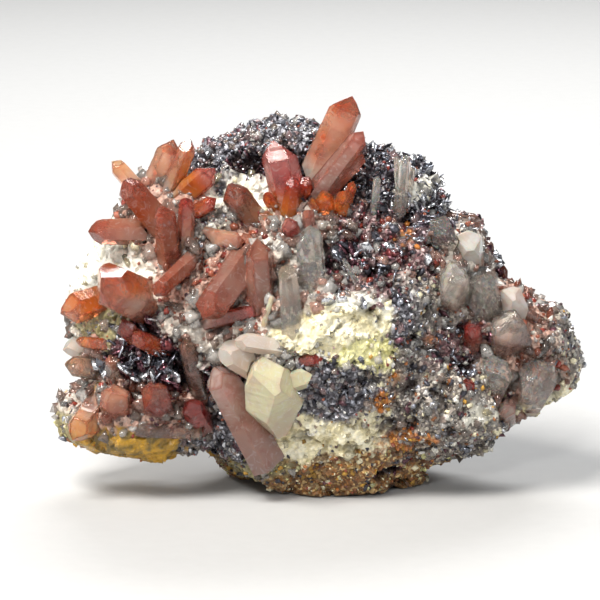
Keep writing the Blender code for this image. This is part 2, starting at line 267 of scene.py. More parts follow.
bpy.ops.object.select_all(action="DESELECT")
bpy.ops.mesh.primitive_plane_add(size=FLOOR_SIZE, location=(0, 0, -0.0002))
floor = bpy.context.object
floor.name = "floor"
paper, tree, surface, _ = new_material("pale_paper")
where = add_node(tree, "ShaderNodeTexCoord").outputs["Object"]
tooth = add_node(tree, "ShaderNodeTexNoise", {"Vector": where}, Scale=400.0, Detail=4.0).outputs["Fac"]
tone = blend_colours(tree, tooth, (0.44, 0.44, 0.435), (0.47, 0.47, 0.465))
tree.links.new(tone, surface.inputs["Base Color"])
surface.inputs["Roughness"].default_value = 0.85
floor.data.materials.append(paper)
print("floor", FLOOR_SIZE, "m")

# %% [markdown]
# ## What lies where on the rock
# The rock isn't one mineral. Steel-grey hematite, purple hematite, glassy and milky quartz, a cream
# vein and rusty ochre each hold their own ground. The deep hollows are no mineral: they are sunk and
# painted near-black, as painted shade. Each patch below is a soft ellipsoid: a mineral, its middle
# and its reach in millimetres. The nearest patch wins, and noise frays the borders.
# The same map then colours the rock and chooses what grows on it.

# %% The minerals
# name: rock tint, fleck tint, metal sheen, relief depth and sinking in mm, smoothness of the grain
MINERALS = {
    "hematite": ((0.105, 0.100, 0.115), (0.42, 0.42, 0.46), 0.45, 1.00, 0.0, 0.0),
    "purple": ((0.140, 0.070, 0.072), (0.42, 0.30, 0.29), 0.20, 1.00, 0.0, 0.0),
    "bright_iron": ((0.085, 0.030, 0.036), (0.34, 0.24, 0.26), 0.50, 1.00, 0.3, 0.0),
    "specular": ((0.050, 0.036, 0.048), (0.32, 0.30, 0.34), 0.65, 1.00, 0.2, 0.0),
    # Not a mineral: painted shade. The hollows sink into the rock and are tinted near-black.
    "shaded_hollow": ((0.014, 0.005, 0.008), (0.09, 0.03, 0.04), 0.40, 0.80, 1.6, 0.0),
    "granular": ((0.210, 0.180, 0.160), (0.54, 0.48, 0.40), 0.05, 0.90, 0.0, 0.1),
    "grey_quartz": ((0.46, 0.40, 0.34), (0.66, 0.61, 0.54), 0.0, 0.90, -0.2, 0.6),
    "rose_quartz": ((0.42, 0.24, 0.18), (0.60, 0.43, 0.35), 0.0, 0.90, -0.2, 0.5),
    "milky": ((0.66, 0.63, 0.53), (0.80, 0.79, 0.72), 0.0, 0.80, -0.3, 0.8),
    "cream": ((0.70, 0.62, 0.38), (0.86, 0.82, 0.66), 0.0, 0.80, -0.3, 0.75),
    "sulphur": ((0.58, 0.54, 0.22), (0.74, 0.70, 0.40), 0.0, 0.70, -0.1, 0.55),
    "ochre": ((0.52, 0.280, 0.018), (0.13, 0.090, 0.020), 0.0, 0.45, 0.0, 0.92),
    "rust": ((0.21, 0.090, 0.026), (0.50, 0.34, 0.15), 0.0, 0.70, 0.0, 0.15),
    "orange": ((0.46, 0.150, 0.025), (0.70, 0.34, 0.09), 0.0, 0.60, -0.1, 0.2),
    "olive": ((0.20, 0.165, 0.070), (0.36, 0.32, 0.17), 0.0, 0.50, 0.0, 0.5),
}

# mineral, middle (x, y, z), reach (x, y, z)
PATCHES = {
    "crest": ("hematite", (-6, 2, 49), (10, 12, 4)),
    "crest_left": ("hematite", (-15, 4, 43), (5, 12, 4)),
    "crest_hollow": ("shaded_hollow", (-1.2, -6, 44.5), (2.7, 5, 3.2)),
    "ruby_hollow": ("shaded_hollow", (-10.0, -6, 45.0), (3.0, 5, 1.4)),
    "ridge_quartz": ("milky", (-13, -8, 42), (5, 5, 2.4)),
    "fan_foot": ("rose_quartz", (-21, -7, 38), (5, 6, 4)),
    "specular_streaks": ("specular", (7.2, -5, 44.5), (4.6, 8, 3.4)),
    "specular_shelf": ("specular", (13, -6, 37.5), (4.5, 6, 3.5)),
    "purple_slope": ("purple", (9, -10, 34), (9, 8, 5)),
    "purple_slope_low": ("purple", (5, -12, 30), (6, 6, 3)),
    "orange_knob": ("orange", (11.0, -10, 36.2), (2.0, 5, 1.9)),
    "maroon_hollow": ("shaded_hollow", (0.4, -12, 32.6), (1.6, 5, 1.7)),
    "right_quartz": ("grey_quartz", (18, -8, 31), (4, 6, 5)),
    "right_grains": ("granular", (15, -10, 27), (5, 7, 4)),
    "centre_quartz": ("grey_quartz", (-3, -13, 33), (5, 6, 7)),
    "centre_rose": ("rose_quartz", (-11, -12, 30), (6, 6, 7)),
    "centre_low": ("grey_quartz", (-12, -14, 23), (6, 6, 4)),
    "under_fan": ("granular", (-15, -10, 37), (3, 6, 2.5)),
    "vein": ("cream", (3.0, -14, 25.6), (6.5, 6, 3.0)),
    "vein_top": ("milky", (4.5, -14, 28.2), (4.0, 6, 2.0)),
    "vein_left": ("cream", (-5.5, -15, 23.0), (4.5, 6, 1.6)),
    "vein_green": ("sulphur", (6.5, -14, 21.6), (3.8, 6, 2.2)),
    "steel_block": ("hematite", (10.4, -12, 25.5), (3.0, 6, 5.0)),
    "lower_grey": ("granular", (13, -10, 15), (10, 8, 7)),
    "lower_steel": ("hematite", (1.5, -14, 16.2), (7, 6, 3.4)),
    "lower_purple": ("purple", (17, -9, 21), (4, 6, 4)),
    "gold_speck": ("orange", (8.0, -13, 14.6), (2.2, 5, 1.9)),
    "orange_seam": ("orange", (12.0, -10, 8.6), (4.0, 6, 1.8)),
    "cream_band": ("cream", (0.5, -12, 8.6), (9.0, 6, 2.8)),
    "cream_band_end": ("granular", (16, -8, 9), (6, 6, 3)),
    "rusty_foot": ("rust", (1, -7, 2.4), (13, 9, 2.8)),
    "olive_foot": ("olive", (-8, -8, 3.4), (6, 6, 2.2)),
    "black_seam": ("shaded_hollow", (8.6, -8, 3.4), (2.4, 5, 0.9)),
    "grey_lump": ("hematite", (-13.8, -10, 7.4), (5.4, 6, 3.6)),
    "ochre_lobe": ("ochre", (-26, -8, 7.0), (9.5, 9, 3.2)),
    "lobe_dark": ("olive", (-33, -4, 8.0), (3, 6, 2.4)),
    "left_hollow": ("shaded_hollow", (-18.6, -10, 18.4), (2.4, 4, 2.8)),
    "left_plates": ("bright_iron", (-22.0, -10, 19.0), (5.5, 6, 3.6)),
    "right_plates": ("bright_iron", (19.2, -10, 18.6), (1.6, 5, 2.2)),
    "middle_maroon": ("bright_iron", (4.5, -12, 34.0), (2.4, 5, 2.2)),
    "left_mass": ("rose_quartz", (-25, -10, 13.5), (7, 6, 3.0)),
    "left_wall": ("milky", (-30, -4, 31.5), (6, 8, 4.6)),
    "left_olive": ("olive", (-30.5, -7, 24.2), (3.4, 6, 3.2)),
    "left_edge": ("grey_quartz", (-33, -4, 18.0), (4, 7, 5.0)),
    "crest_quartz": ("grey_quartz", (-4, -3, 49.5), (4.0, 6, 1.8)),
    "upper_quartz": ("milky", (13, -7, 41), (2.4, 5, 1.5)),
    "slope_quartz": ("grey_quartz", (10, -10, 30.4), (3.0, 5, 1.8)),
    "slope_orange": ("orange", (14.4, -9, 22.4), (1.5, 4, 1.2)),
    "gold_trail": ("orange", (9.6, -12, 17.6), (1.7, 4, 1.3)),
    "orange_dots": ("orange", (15.4, -10, 12.2), (2.0, 4, 1.2)),
    "cream_spots": ("cream", (6.4, -12, 12.0), (2.6, 5, 1.5)),
    "cream_right": ("milky", (20.4, -9, 12.0), (2.6, 5, 1.8)),
    "steel_low": ("hematite", (16.6, -9, 9.6), (2.4, 5, 1.8)),
    "purple_low": ("purple", (14.0, -10, 18.6), (2.8, 5, 1.8)),
    "rusty_seam": ("rust", (5.0, -10, 6.2), (7.0, 5, 0.9)),
    "rose_hollow": ("bright_iron", (-14.0, -12, 17.0), (2.4, 5, 2.0)),
    "horn_end": ("granular", (32, -1, 20.5), (4, 8, 4.6)),
    "horn_quartz": ("rose_quartz", (27, -6, 18), (6, 5, 5.5)),
    "horn_under": ("cream", (29, -4, 13.0), (4, 6, 2.0)),
    "horn_top": ("rose_quartz", (27, -3, 25), (3, 6, 2.0)),
    "back_iron": ("hematite", (-4, 15, 34), (20, 7, 14)),
    "back_purple": ("purple", (14, 13, 30), (11, 7, 9)),
    "back_grains": ("granular", (0, 15, 14), (15, 7, 9)),
    "back_vein": ("milky", (7, 17, 21), (8, 6, 2.6)),
    "back_quartz": ("grey_quartz", (-20, 11, 32), (7, 7, 7)),
    "back_rust": ("rust", (-17, 12, 12), (9, 7, 6)),
    "back_ochre": ("ochre", (-28, 6, 12), (7, 7, 5)),
    "back_horn": ("rose_quartz", (24, 8, 17), (6, 6, 5)),
    "underside": ("rust", (0, 2, 0), (18, 16, 1.2)),
}
BORDER_FRAY = 0.34          # how far noise pushes a border, in patch radii
BORDER_FRAY_SPACING = 2.4   # mm
BORDER_GRAIN_SPACING = 0.7  # mm
BORDER_BLEND = 7.0          # how quickly one mineral's colour gives way to the next

mineral_names = list(MINERALS)
patch_mineral = np.array([mineral_names.index(row[0]) for row in PATCHES.values()])
patch_middle = np.array([row[1] for row in PATCHES.values()], float)
patch_reach = np.array([row[2] for row in PATCHES.values()], float)


def patch_distances(places):
    """How far each place, given in metres, lies from every patch, in patch radii and squared."""
    places = places / MM
    fray = np.array([
        noise.noise_vector(Vector(place) / BORDER_FRAY_SPACING) * BORDER_FRAY
        + noise.noise_vector(Vector(place) / BORDER_GRAIN_SPACING) * BORDER_FRAY * 0.8
        for place in places
    ])
    found = []
    for start in range(0, len(places), 20000):
        part = slice(start, start + 20000)
        away = (places[part, None] - patch_middle) / patch_reach + fray[part, None]
        found.append((away ** 2).sum(axis=2))
    return np.concatenate(found)


def minerals_at(places):
    """The number of the mineral that holds each place."""
    return patch_mineral[np.argmin(patch_distances(places), axis=1)]


def blend_shares(distances):
    """Each mineral's share of the colour at a place, which sum to one."""
    nearest = distances.min(axis=1, keepdims=True)
    weights = np.exp((nearest - distances) * BORDER_BLEND)
    shares = np.zeros((len(distances), len(MINERALS)))
    for number in range(len(MINERALS)):
        shares[:, number] = weights[:, patch_mineral == number].sum(axis=1)
    return shares / shares.sum(axis=1, keepdims=True)


print(len(PATCHES), "patches of", len(MINERALS), "minerals")

# %% [markdown]
# ## The rock
# A broken surface is made of blocks, each a little higher, lower or tilted. The solid's flat facets
# are first melted away by a fine remesh. Then every point moves along its normal. Voronoi cells give
# the blocks: each cell has its own height and tilt, so the rock breaks into small planes and not
# into waves. Three sizes of cell follow each other, from fracture blocks down to single grains.

# %% The rock's shape
ROCK_VOXEL = 0.36 * MM
ROCK_LIFT = 0.30            # mm: closes the gap that the solids keep round each crystal's foot
# cell size, share of the height, share of the tilt
BLOCK_SIZES = ((4.4, 0.9, 0.30), (2.0, 0.60, 0.40), (1.0, 0.35, 0.40))
PIT_SPACING = 3.4           # mm between the pits that open between blocks, painted dark with dirt and painted shade
PIT_DEPTH = 1.8


def block_height(place):
    """How far a broken surface stands out at a place, in shares of the mineral's depth. In mm."""
    total = 0.0
    for size, rise, tilt in BLOCK_SIZES:
        middle = noise.voronoi(place / size)[1][0]
        own = noise.noise_vector(middle * 7.31)
        total += rise * own.x * 1.6 + tilt * size * own.dot(place / size - middle)
    return total


rock = copy_of_node("hematite_matrix", "hematite_rock")
apply_modifier(rock, "REMESH", mode="VOXEL", voxel_size=ROCK_VOXEL)
apply_modifier(rock, "SMOOTH", iterations=10)
smooth_places, outward = points_of(rock), normals_of(rock)
rock_shares = blend_shares(patch_distances(smooth_places))


def painted(index):
    """One column of the table of minerals, blended over the rock's points."""
    values = rock_shares @ np.array([row[index] for row in MINERALS.values()], float)
    return np.c_[values, np.ones(len(values))] if values.ndim == 2 else values


depth, sink = painted(3), painted(4)
blocks = np.array([block_height(Vector(place)) for place in smooth_places / MM])
pits = np.array([max(0.0, noise.noise(Vector(place) / PIT_SPACING) - 0.25) for place in smooth_places / MM])
sink += pits * PIT_DEPTH * 3 * np.clip((depth - 0.75) * 4, 0, 1)
moved = smooth_places + outward * ((ROCK_LIFT + blocks * depth - sink) * MM)[:, None]
moved[:, 2] = np.maximum(moved[:, 2], 0.0)
put_points(rock, moved)
only(rock)
bpy.ops.object.shade_flat()
print("rock", len(rock.data.polygons), "faces")

# %% [markdown]
# ## The rock's colour
# The map of minerals is painted on the points, as a tint, a fleck colour and a metal sheen. The
# material then breaks them up: cells of about a millimetre are the grains, each a little lighter or
# darker, some of them flecks of the second tint. Fine noise roughens them all. Deep crevices are
# painted near-black, partly as dirt and partly as painted shade.

# %% Paint the rock
# Dirt and painted shade: the deeper a point lies, the nearer black its colour is painted.
crevice = np.clip((sink - blocks * depth) * 0.85, 0.0, 1.0)
paint(rock, "crevice", crevice)
paint(rock, "tint", painted(0), "FLOAT_COLOR")
paint(rock, "fleck", painted(1), "FLOAT_COLOR")
paint(rock, "sheen", painted(2))
paint(rock, "smoothness", painted(5))

# %% Grain group
grain_group, given, out = new_group(
    "mineral_grains",
    [("Tint", "NodeSocketColor", None), ("Fleck", "NodeSocketColor", None),
     ("Grain size", "NodeSocketFloat", 1.0), ("Flecks", "NodeSocketFloat", 0.4),
     ("Facet tilt", "NodeSocketFloat", 0.5)],
    [("Color", "NodeSocketColor"), ("Height", "NodeSocketFloat"), ("Random", "NodeSocketFloat"),
     ("Normal", "NodeSocketVector")],
)
where = add_node(grain_group, "ShaderNodeTexCoord").outputs["Object"]
small = add_node(grain_group, "ShaderNodeTexNoise", {"Vector": where}, Scale=2200.0, Detail=6.0, Roughness=0.7)
scale = add_node(grain_group, "ShaderNodeMath", operation="DIVIDE")
scale.inputs[0].default_value = 1000.0
grain_group.links.new(given.outputs["Grain size"], scale.inputs[1])
cells = add_node(grain_group, "ShaderNodeTexVoronoi", {"Vector": where, "Scale": scale.outputs[0]})
split = add_node(grain_group, "ShaderNodeSeparateColor", {"Color": cells.outputs["Color"]})
fleck_limit = add_node(grain_group, "ShaderNodeMath", {0: split.outputs["Red"]}, operation="LESS_THAN")
grain_group.links.new(given.outputs["Flecks"], fleck_limit.inputs[1])
mixed = blend_colours(grain_group, fleck_limit.outputs[0], given.outputs["Tint"], given.outputs["Fleck"])
shade = ramp(grain_group, split.outputs["Green"], 0.0, 1.0, 0.35, 1.45)
dirt = ramp(grain_group, small.outputs["Fac"], 0.3, 0.7, 0.55, 1.35)
both = add_node(grain_group, "ShaderNodeMath", {0: shade, 1: dirt}, operation="MULTIPLY").outputs[0]
grey = add_node(grain_group, "ShaderNodeCombineColor", {"Red": both, "Green": both, "Blue": both})
shaded = blend_colours(grain_group, 1.0, mixed, grey.outputs[0], "MULTIPLY")
grain_group.links.new(shaded, out.inputs["Color"])
bumps = add_node(grain_group, "ShaderNodeMath", {0: small.outputs["Fac"], 1: split.outputs["Blue"]}, operation="ADD")
grain_group.links.new(bumps.outputs[0], out.inputs["Height"])
grain_group.links.new(split.outputs["Blue"], out.inputs["Random"])
# Each cell leans its own way, so that it catches the light as a small flat facet does.
lean = add_node(grain_group, "ShaderNodeVectorMath", {0: cells.outputs["Color"]}, operation="SUBTRACT")
lean.inputs[1].default_value = (0.5, 0.5, 0.5)
tilt = add_node(grain_group, "ShaderNodeVectorMath", {0: lean.outputs[0]}, operation="SCALE")
grain_group.links.new(given.outputs["Facet tilt"], tilt.inputs["Scale"])
facing = add_node(grain_group, "ShaderNodeNewGeometry").outputs["Normal"]
turned = add_node(grain_group, "ShaderNodeVectorMath", {0: facing, 1: tilt.outputs[0]}, operation="ADD")
facet = add_node(grain_group, "ShaderNodeVectorMath", {0: turned.outputs[0]}, operation="NORMALIZE")
grain_group.links.new(facet.outputs[0], out.inputs["Normal"])

# %% Rock material
rock_stone, tree, surface, _ = new_material("broken_hematite")
tint = add_node(tree, "ShaderNodeAttribute", attribute_name="tint").outputs["Color"]
fleck = add_node(tree, "ShaderNodeAttribute", attribute_name="fleck").outputs["Color"]
sheen = add_node(tree, "ShaderNodeAttribute", attribute_name="sheen").outputs["Fac"]
crevice = add_node(tree, "ShaderNodeAttribute", attribute_name="crevice").outputs["Fac"]
smoothness = add_node(tree, "ShaderNodeAttribute", attribute_name="smoothness").outputs["Fac"]
facet_tilt = ramp(tree, smoothness, 0, 1, 0.9, 0.25)
grains = use_group(
    tree, grain_group, {"Tint": tint, "Fleck": fleck, "Facet tilt": facet_tilt}, Grain_size=0.42, Flecks=0.30
)
where = add_node(tree, "ShaderNodeTexCoord").outputs["Object"]
clouds = add_node(tree, "ShaderNodeTexNoise", {"Vector": where}, Scale=420.0, Detail=6.0, Distortion=1.0)
massive = blend_colours(tree, ramp(tree, clouds.outputs["Fac"], 0.40, 0.66), tint, fleck)
colour = blend_colours(tree, smoothness, grains.outputs["Color"], massive)
# Dirt and painted shade: deep crevices blend towards near-black.
dirt_and_shade_colour = blend_colours(tree, crevice, colour, (0.020, 0.010, 0.009))
tree.links.new(dirt_and_shade_colour, surface.inputs["Base Color"])
tree.links.new(sheen, surface.inputs["Metallic"])
tree.links.new(ramp(tree, grains.outputs["Random"], 0, 1, 0.16, 0.60), surface.inputs["Roughness"])
relief = add_node(
    tree, "ShaderNodeBump", {"Height": grains.outputs["Height"], "Normal": grains.outputs["Normal"]},
    Strength=0.5, Distance=0.00008,
)
tree.links.new(relief.outputs["Normal"], surface.inputs["Normal"])
settle(rock, rock_stone, "hematite_rock", "hematite_matrix")
print("rock painted with", len(MINERALS), "minerals")

# %% [markdown]
# ## Seeds
# The small crystals are copies of a few seeds, each modelled once at unit size, standing on its foot:
# a quartz point, a chipped grain, a hematite plate and a long blade. They have only a few dozen
# faces, because there will be thousands of copies.

# %% Model the seeds
def chip(obj, cuts, rng):
    """Cuts corners off a shape with planes at odd angles, as breakage does."""
    for _ in range(cuts):
        normal = Vector((rng.gauss(0, 1), rng.gauss(0, 1), rng.gauss(0, 1))).normalized()
        edit(obj)
        bpy.ops.mesh.bisect(
            plane_co=normal * rng.uniform(0.34, 0.46), plane_no=normal, use_fill=True, clear_outer=True
        )
        leave_edit()


def quartz_point_seed(name, tip, lean):
    """A six-sided prism with a pointed end whose tip stands off the middle."""
    bpy.ops.object.select_all(action="DESELECT")
    bpy.ops.mesh.primitive_cylinder_add(vertices=6, radius=0.5, depth=1.0, location=(0, 0, 0.2))
    seed = bpy.context.object
    seed.name = name
    edit(seed, "DESELECT")
    leave_edit()
    for face in seed.data.polygons:
        face.select = face.normal.z > 0.9
    bpy.ops.object.mode_set(mode="EDIT")
    bpy.ops.mesh.select_mode(type="FACE")
    bpy.ops.mesh.extrude_region_move(TRANSFORM_OT_translate={"value": (lean, lean * 0.6, tip)})
    bpy.ops.mesh.merge(type="CENTER")
    leave_edit()
    return seed


def grain_seed(name, rng):
    """A cube with its corners knocked off."""
    bpy.ops.object.select_all(action="DESELECT")
    bpy.ops.mesh.primitive_cube_add(size=0.9)
    seed = bpy.context.object
    seed.name = name
    seed.rotation_euler = [rng.uniform(0, math.tau) for _ in range(3)]
    bpy.ops.object.transform_apply(rotation=True)
    chip(seed, 3, rng)
    return seed


def plate_seed(name, stretch):
    """A thin six-sided plate with one corner broken off, standing on its edge."""
    bpy.ops.object.select_all(action="DESELECT")
    bpy.ops.mesh.primitive_cylinder_add(vertices=6, radius=0.5, depth=0.09)
    seed = bpy.context.object
    seed.name = name
    edit(seed)
    bpy.ops.mesh.bisect(
        plane_co=(0.30, 0.16, 0), plane_no=(0.8, 0.6, 0.2), use_fill=True, clear_outer=True
    )
    bpy.ops.mesh.select_all(action="SELECT")
    bpy.ops.transform.rotate(value=math.pi / 2, orient_axis="X", center_override=(0, 0, 0))
    bpy.ops.transform.resize(value=(1, 1, stretch), center_override=(0, 0, 0))
    bpy.ops.transform.translate(value=(0, 0, 0.3 * stretch))
    leave_edit()
    return seed


seed_rng = random.Random(4)
POINTS = [quartz_point_seed(f"point_seed_{k}", 0.30 + 0.08 * k, 0.06 * k - 0.06) for k in range(3)]
GRAINS = [grain_seed(f"grain_seed_{k}", seed_rng) for k in range(6)]
PLATES = [plate_seed("plate_seed_round", 1.0), plate_seed("plate_seed_long", 1.5)]
BLADES = [plate_seed("blade_seed", 4.0), plate_seed("blade_seed_short", 2.6)]
SEEDS = POINTS + GRAINS + PLATES + BLADES
print({seed.name: len(seed.data.polygons) for seed in SEEDS})


# %% [markdown]
# ## Many copies in one mesh
# An instance is light, but an export drops it. So the copies are written into one real mesh: the
# seed's points are placed by a matrix, copy after copy, and its faces are numbered on. Every copy also
# carries its own tint on its points, and how far up it a point stands.

# %% Join copies
def seed_arrays(seed):
    mesh = seed.data
    corners = np.empty(len(mesh.loops), int)
    mesh.loops.foreach_get("vertex_index", corners)
    sizes = np.empty(len(mesh.polygons), int)
    mesh.polygons.foreach_get("loop_total", sizes)
    return points_of(seed), corners, sizes


def joined_copies(name, seeds, rows):
    """rows are (seed number, 4x4 matrix, tint). Returns one object that holds a copy for each."""
    arrays = [seed_arrays(seed) for seed in seeds]
    places, corners, sizes, tints, heights, count = [], [], [], [], [], 0
    for number, matrix, tint in rows:
        own, own_corners, own_sizes = arrays[number % len(seeds)]
        matrix = np.array(matrix)
        places.append(own @ matrix[:3, :3].T + matrix[:3, 3])
        corners.append(own_corners + count)
        sizes.append(own_sizes)
        tints.append(np.tile((*tint, 1.0), (len(own), 1)))
        heights.append((own[:, 2] - own[:, 2].min()) / np.ptp(own[:, 2]))
        count += len(own)
    places, corners, sizes = np.concatenate(places), np.concatenate(corners), np.concatenate(sizes)
    places[:, 2] = np.maximum(places[:, 2], 0.0)
    mesh = bpy.data.meshes.new(name)
    mesh.vertices.add(len(places))
    mesh.vertices.foreach_set("co", places.ravel())
    mesh.loops.add(len(corners))
    mesh.loops.foreach_set("vertex_index", corners)
    mesh.polygons.add(len(sizes))
    mesh.polygons.foreach_set("loop_start", np.concatenate([[0], np.cumsum(sizes)[:-1]]))
    mesh.update(calc_edges=True)
    made = bpy.data.objects.new(name, mesh)
    bpy.context.scene.collection.objects.link(made)
    paint(made, "tint", np.concatenate(tints), "FLOAT_COLOR")
    paint(made, "height", np.concatenate(heights))
    return made


# %% [markdown]
# ## Where they grow
# Spots are drawn all over the rock, more on larger faces, from a seeded generator so that every
# run gives the same specimen. Each mineral has its own mix of what grows on it and in which tints.

# %% Draw the spots
SPOTS = 34000
BORDER_SCATTER = 0.8        # mm: how far a neighbour's growth strays over a border
spot_rng = np.random.default_rng(11)
rock.data.calc_loop_triangles()
triangles = np.empty(len(rock.data.loop_triangles) * 3, int)
rock.data.loop_triangles.foreach_get("vertices", triangles)
triangles = triangles.reshape(-1, 3)
ends = points_of(rock)[triangles]
areas = np.linalg.norm(np.cross(ends[:, 1] - ends[:, 0], ends[:, 2] - ends[:, 0]), axis=1) / 2
chosen = spot_rng.choice(len(triangles), SPOTS, p=areas / areas.sum())
shares = spot_rng.dirichlet((1, 1, 1), SPOTS)
spot_places = (ends[chosen] * shares[:, :, None]).sum(axis=1)
# The unbroken rock's normals are steadier than those of its small blocks.
spot_normals = outward[triangles[chosen]].mean(axis=1)
spot_normals /= np.linalg.norm(spot_normals, axis=1)[:, None]
strayed = spot_places + spot_rng.normal(0, BORDER_SCATTER * MM, spot_places.shape)
spot_minerals = minerals_at(strayed)
# Spots in the hollows of painted shade keep the hollows' own growth.
dark = minerals_at(spot_places) == mineral_names.index("shaded_hollow")
spot_minerals[dark] = mineral_names.index("shaded_hollow")
on_base = (spot_places[:, 2] < 0.6 * MM) & (spot_normals[:, 2] < -0.5)
print(SPOTS, "spots on", round(areas.sum() / MM ** 2), "square mm")

# %% What grows on each mineral
CLEAR = (0.68, 0.65, 0.61)
SMOKE = (0.42, 0.33, 0.28)
LILAC = (0.38, 0.26, 0.26)
ROSE = (0.58, 0.34, 0.27)
SALMON = (0.46, 0.14, 0.08)
RED = (0.36, 0.060, 0.040)
MAROON = (0.15, 0.028, 0.030)
AMBER = (0.72, 0.25, 0.05)
MILK = (0.72, 0.69, 0.61)
CREAM = (0.74, 0.67, 0.46)
LEMON = (0.66, 0.63, 0.30)
OCHRE = (0.46, 0.25, 0.04)
RUST = (0.24, 0.090, 0.030)
STEEL = (0.26, 0.27, 0.31)
IRON = (0.060, 0.058, 0.072)
PLUM = (0.130, 0.055, 0.070)
SILVER = (0.58, 0.59, 0.62)

# mineral: [(share, kind, tints, smallest, largest in mm)]; the share of None stays bare
BARE = (None, (), 0, 0)
GROWTH = {
    "hematite": [(12, "plate", (STEEL, SILVER, IRON), 0.4, 1.2), (12, "iron", (IRON, STEEL, PLUM), 0.3, 1.1),
                 (18, "chunk", (CLEAR, SMOKE, LILAC), 0.4, 1.3), (10, "milk", (SILVER, LILAC, STEEL), 0.3, 0.9),
                 (5, "clear", (CLEAR,), 0.4, 1.2), (3, "stained", (SALMON, RED), 0.4, 0.9), (35, *BARE)],
    "purple": [(13, "plate", (STEEL, PLUM, SILVER), 0.5, 1.8), (15, "iron", (PLUM, IRON, MAROON), 0.4, 1.4),
               (14, "chunk", (CLEAR, SMOKE, LILAC, ROSE), 0.4, 1.7), (7, "clear", (CLEAR, ROSE, CLEAR), 0.5, 1.6),
               (10, "stained", (RED, SALMON, MAROON, MAROON), 0.4, 1.5), (6, "blade", (SILVER, STEEL), 0.4, 0.8),
               (28, *BARE)],
    "bright_iron": [(22, "plate", (STEEL, PLUM, SILVER, IRON), 0.9, 3.0), (8, "iron", (PLUM, MAROON), 0.4, 1.3),
                    (6, "stained", (RED, MAROON, SALMON), 0.5, 1.4), (5, "clear", (CLEAR, ROSE), 0.5, 1.3),
                    (5, "blade", (SILVER, IRON), 0.4, 0.9), (34, *BARE)],
    "specular": [(34, "blade", (IRON, STEEL, SILVER), 0.5, 1.1), (14, "plate", (STEEL, SILVER), 0.5, 1.5),
                 (10, "chunk", (CLEAR, LILAC), 0.4, 1.6), (4, "stained", (SALMON, RED), 0.4, 1.2), (20, *BARE)],
    "shaded_hollow": [(24, "plate", (IRON, PLUM), 0.6, 1.8), (14, "blade", (PLUM, STEEL), 0.4, 0.9), (50, *BARE)],
    "granular": [(8, "plate", (STEEL, SILVER), 0.3, 1.0), (14, "iron", (IRON, STEEL, PLUM), 0.3, 1.0),
                 (14, "milk", (MILK, CREAM, CLEAR), 0.3, 1.1), (18, "chunk", (CLEAR, SMOKE, CLEAR), 0.3, 1.4),
                 (5, "stained", (AMBER, RED, SALMON), 0.3, 0.8), (4, "earth", (OCHRE, RUST, CREAM), 0.3, 0.7),
                 (30, *BARE)],
    "grey_quartz": [(14, "chunk", (CLEAR, SMOKE, ROSE, CLEAR), 0.6, 2.4), (9, "clear", (CLEAR, CLEAR, ROSE), 0.7, 2.0),
                    (4, "column", (CLEAR, SMOKE, ROSE), 2.0, 4.0), (3, "milk", (CLEAR, MILK), 0.4, 1.2),
                    (3, "stained", (ROSE, SALMON), 0.5, 1.6), (2, "plate", (STEEL,), 0.3, 0.9), (55, *BARE)],
    "rose_quartz": [(12, "chunk", (ROSE, SMOKE, CLEAR), 0.6, 2.4), (9, "clear", (ROSE, CLEAR, SALMON), 0.7, 2.0),
                    (4, "column", (ROSE, SALMON, SMOKE, ROSE), 2.0, 4.0), (7, "stained", (SALMON, RED), 0.5, 1.8),
                    (4, "iron", (PLUM, MAROON), 0.3, 0.9), (2, "plate", (STEEL, PLUM), 0.3, 0.9), (55, *BARE)],
    "milky": [(8, "milk", (MILK, CREAM), 0.3, 1.6), (2, "chunk", (CREAM, MILK), 0.5, 1.6),
              (1, "column", (CREAM,), 1.8, 3.2), (85, *BARE)],
    "cream": [(6, "milk", (CREAM, MILK), 0.3, 1.3), (4, "chunk", (CLEAR, CREAM), 0.4, 1.4),
              (1, "earth", (CREAM, OCHRE), 0.3, 0.7), (1, "iron", (STEEL,), 0.3, 0.6), (85, *BARE)],
    "sulphur": [(6, "milk", (LEMON, CREAM), 0.3, 1.0), (4, "earth", (LEMON, OCHRE), 0.3, 0.7),
                (4, "iron", (STEEL, IRON), 0.3, 0.7), (70, *BARE)],
    "ochre": [(1, "earth", (OCHRE, RUST), 0.3, 0.7), (1, "stained", (AMBER,), 0.3, 0.8), (97, *BARE)],
    "rust": [(12, "earth", (RUST, OCHRE, CREAM), 0.3, 0.9), (8, "iron", (IRON, PLUM), 0.3, 0.9),
             (6, "stained", (AMBER, SALMON), 0.3, 0.9), (10, "milk", (CREAM, LEMON), 0.3, 1.0), (50, *BARE)],
    "orange": [(24, "stained", (AMBER, AMBER, SALMON), 0.4, 1.5), (10, "earth", (OCHRE, RUST), 0.3, 0.8),
               (10, "chunk", (CLEAR, ROSE), 0.4, 1.2), (6, "iron", (STEEL, PLUM), 0.3, 0.8), (35, *BARE)],
    "olive": [(8, "earth", (OCHRE, RUST, LEMON), 0.3, 0.9), (12, "chunk", (SMOKE, CLEAR), 0.4, 1.6),
              (8, "iron", (IRON, STEEL), 0.3, 0.9), (60, *BARE)],
}


def stand(place, normal, tilt, spin, size):
    """A matrix that stands a seed on a place, tilted off the normal and spun about itself."""
    lean = Quaternion(Vector((math.cos(spin * 3), math.sin(spin * 3), 0)), tilt)
    up = Vector(normal).to_track_quat("Z", "Y") @ lean @ Quaternion((0, 0, 1), spin)
    return Matrix.LocRotScale(Vector(place), up, Vector(size))


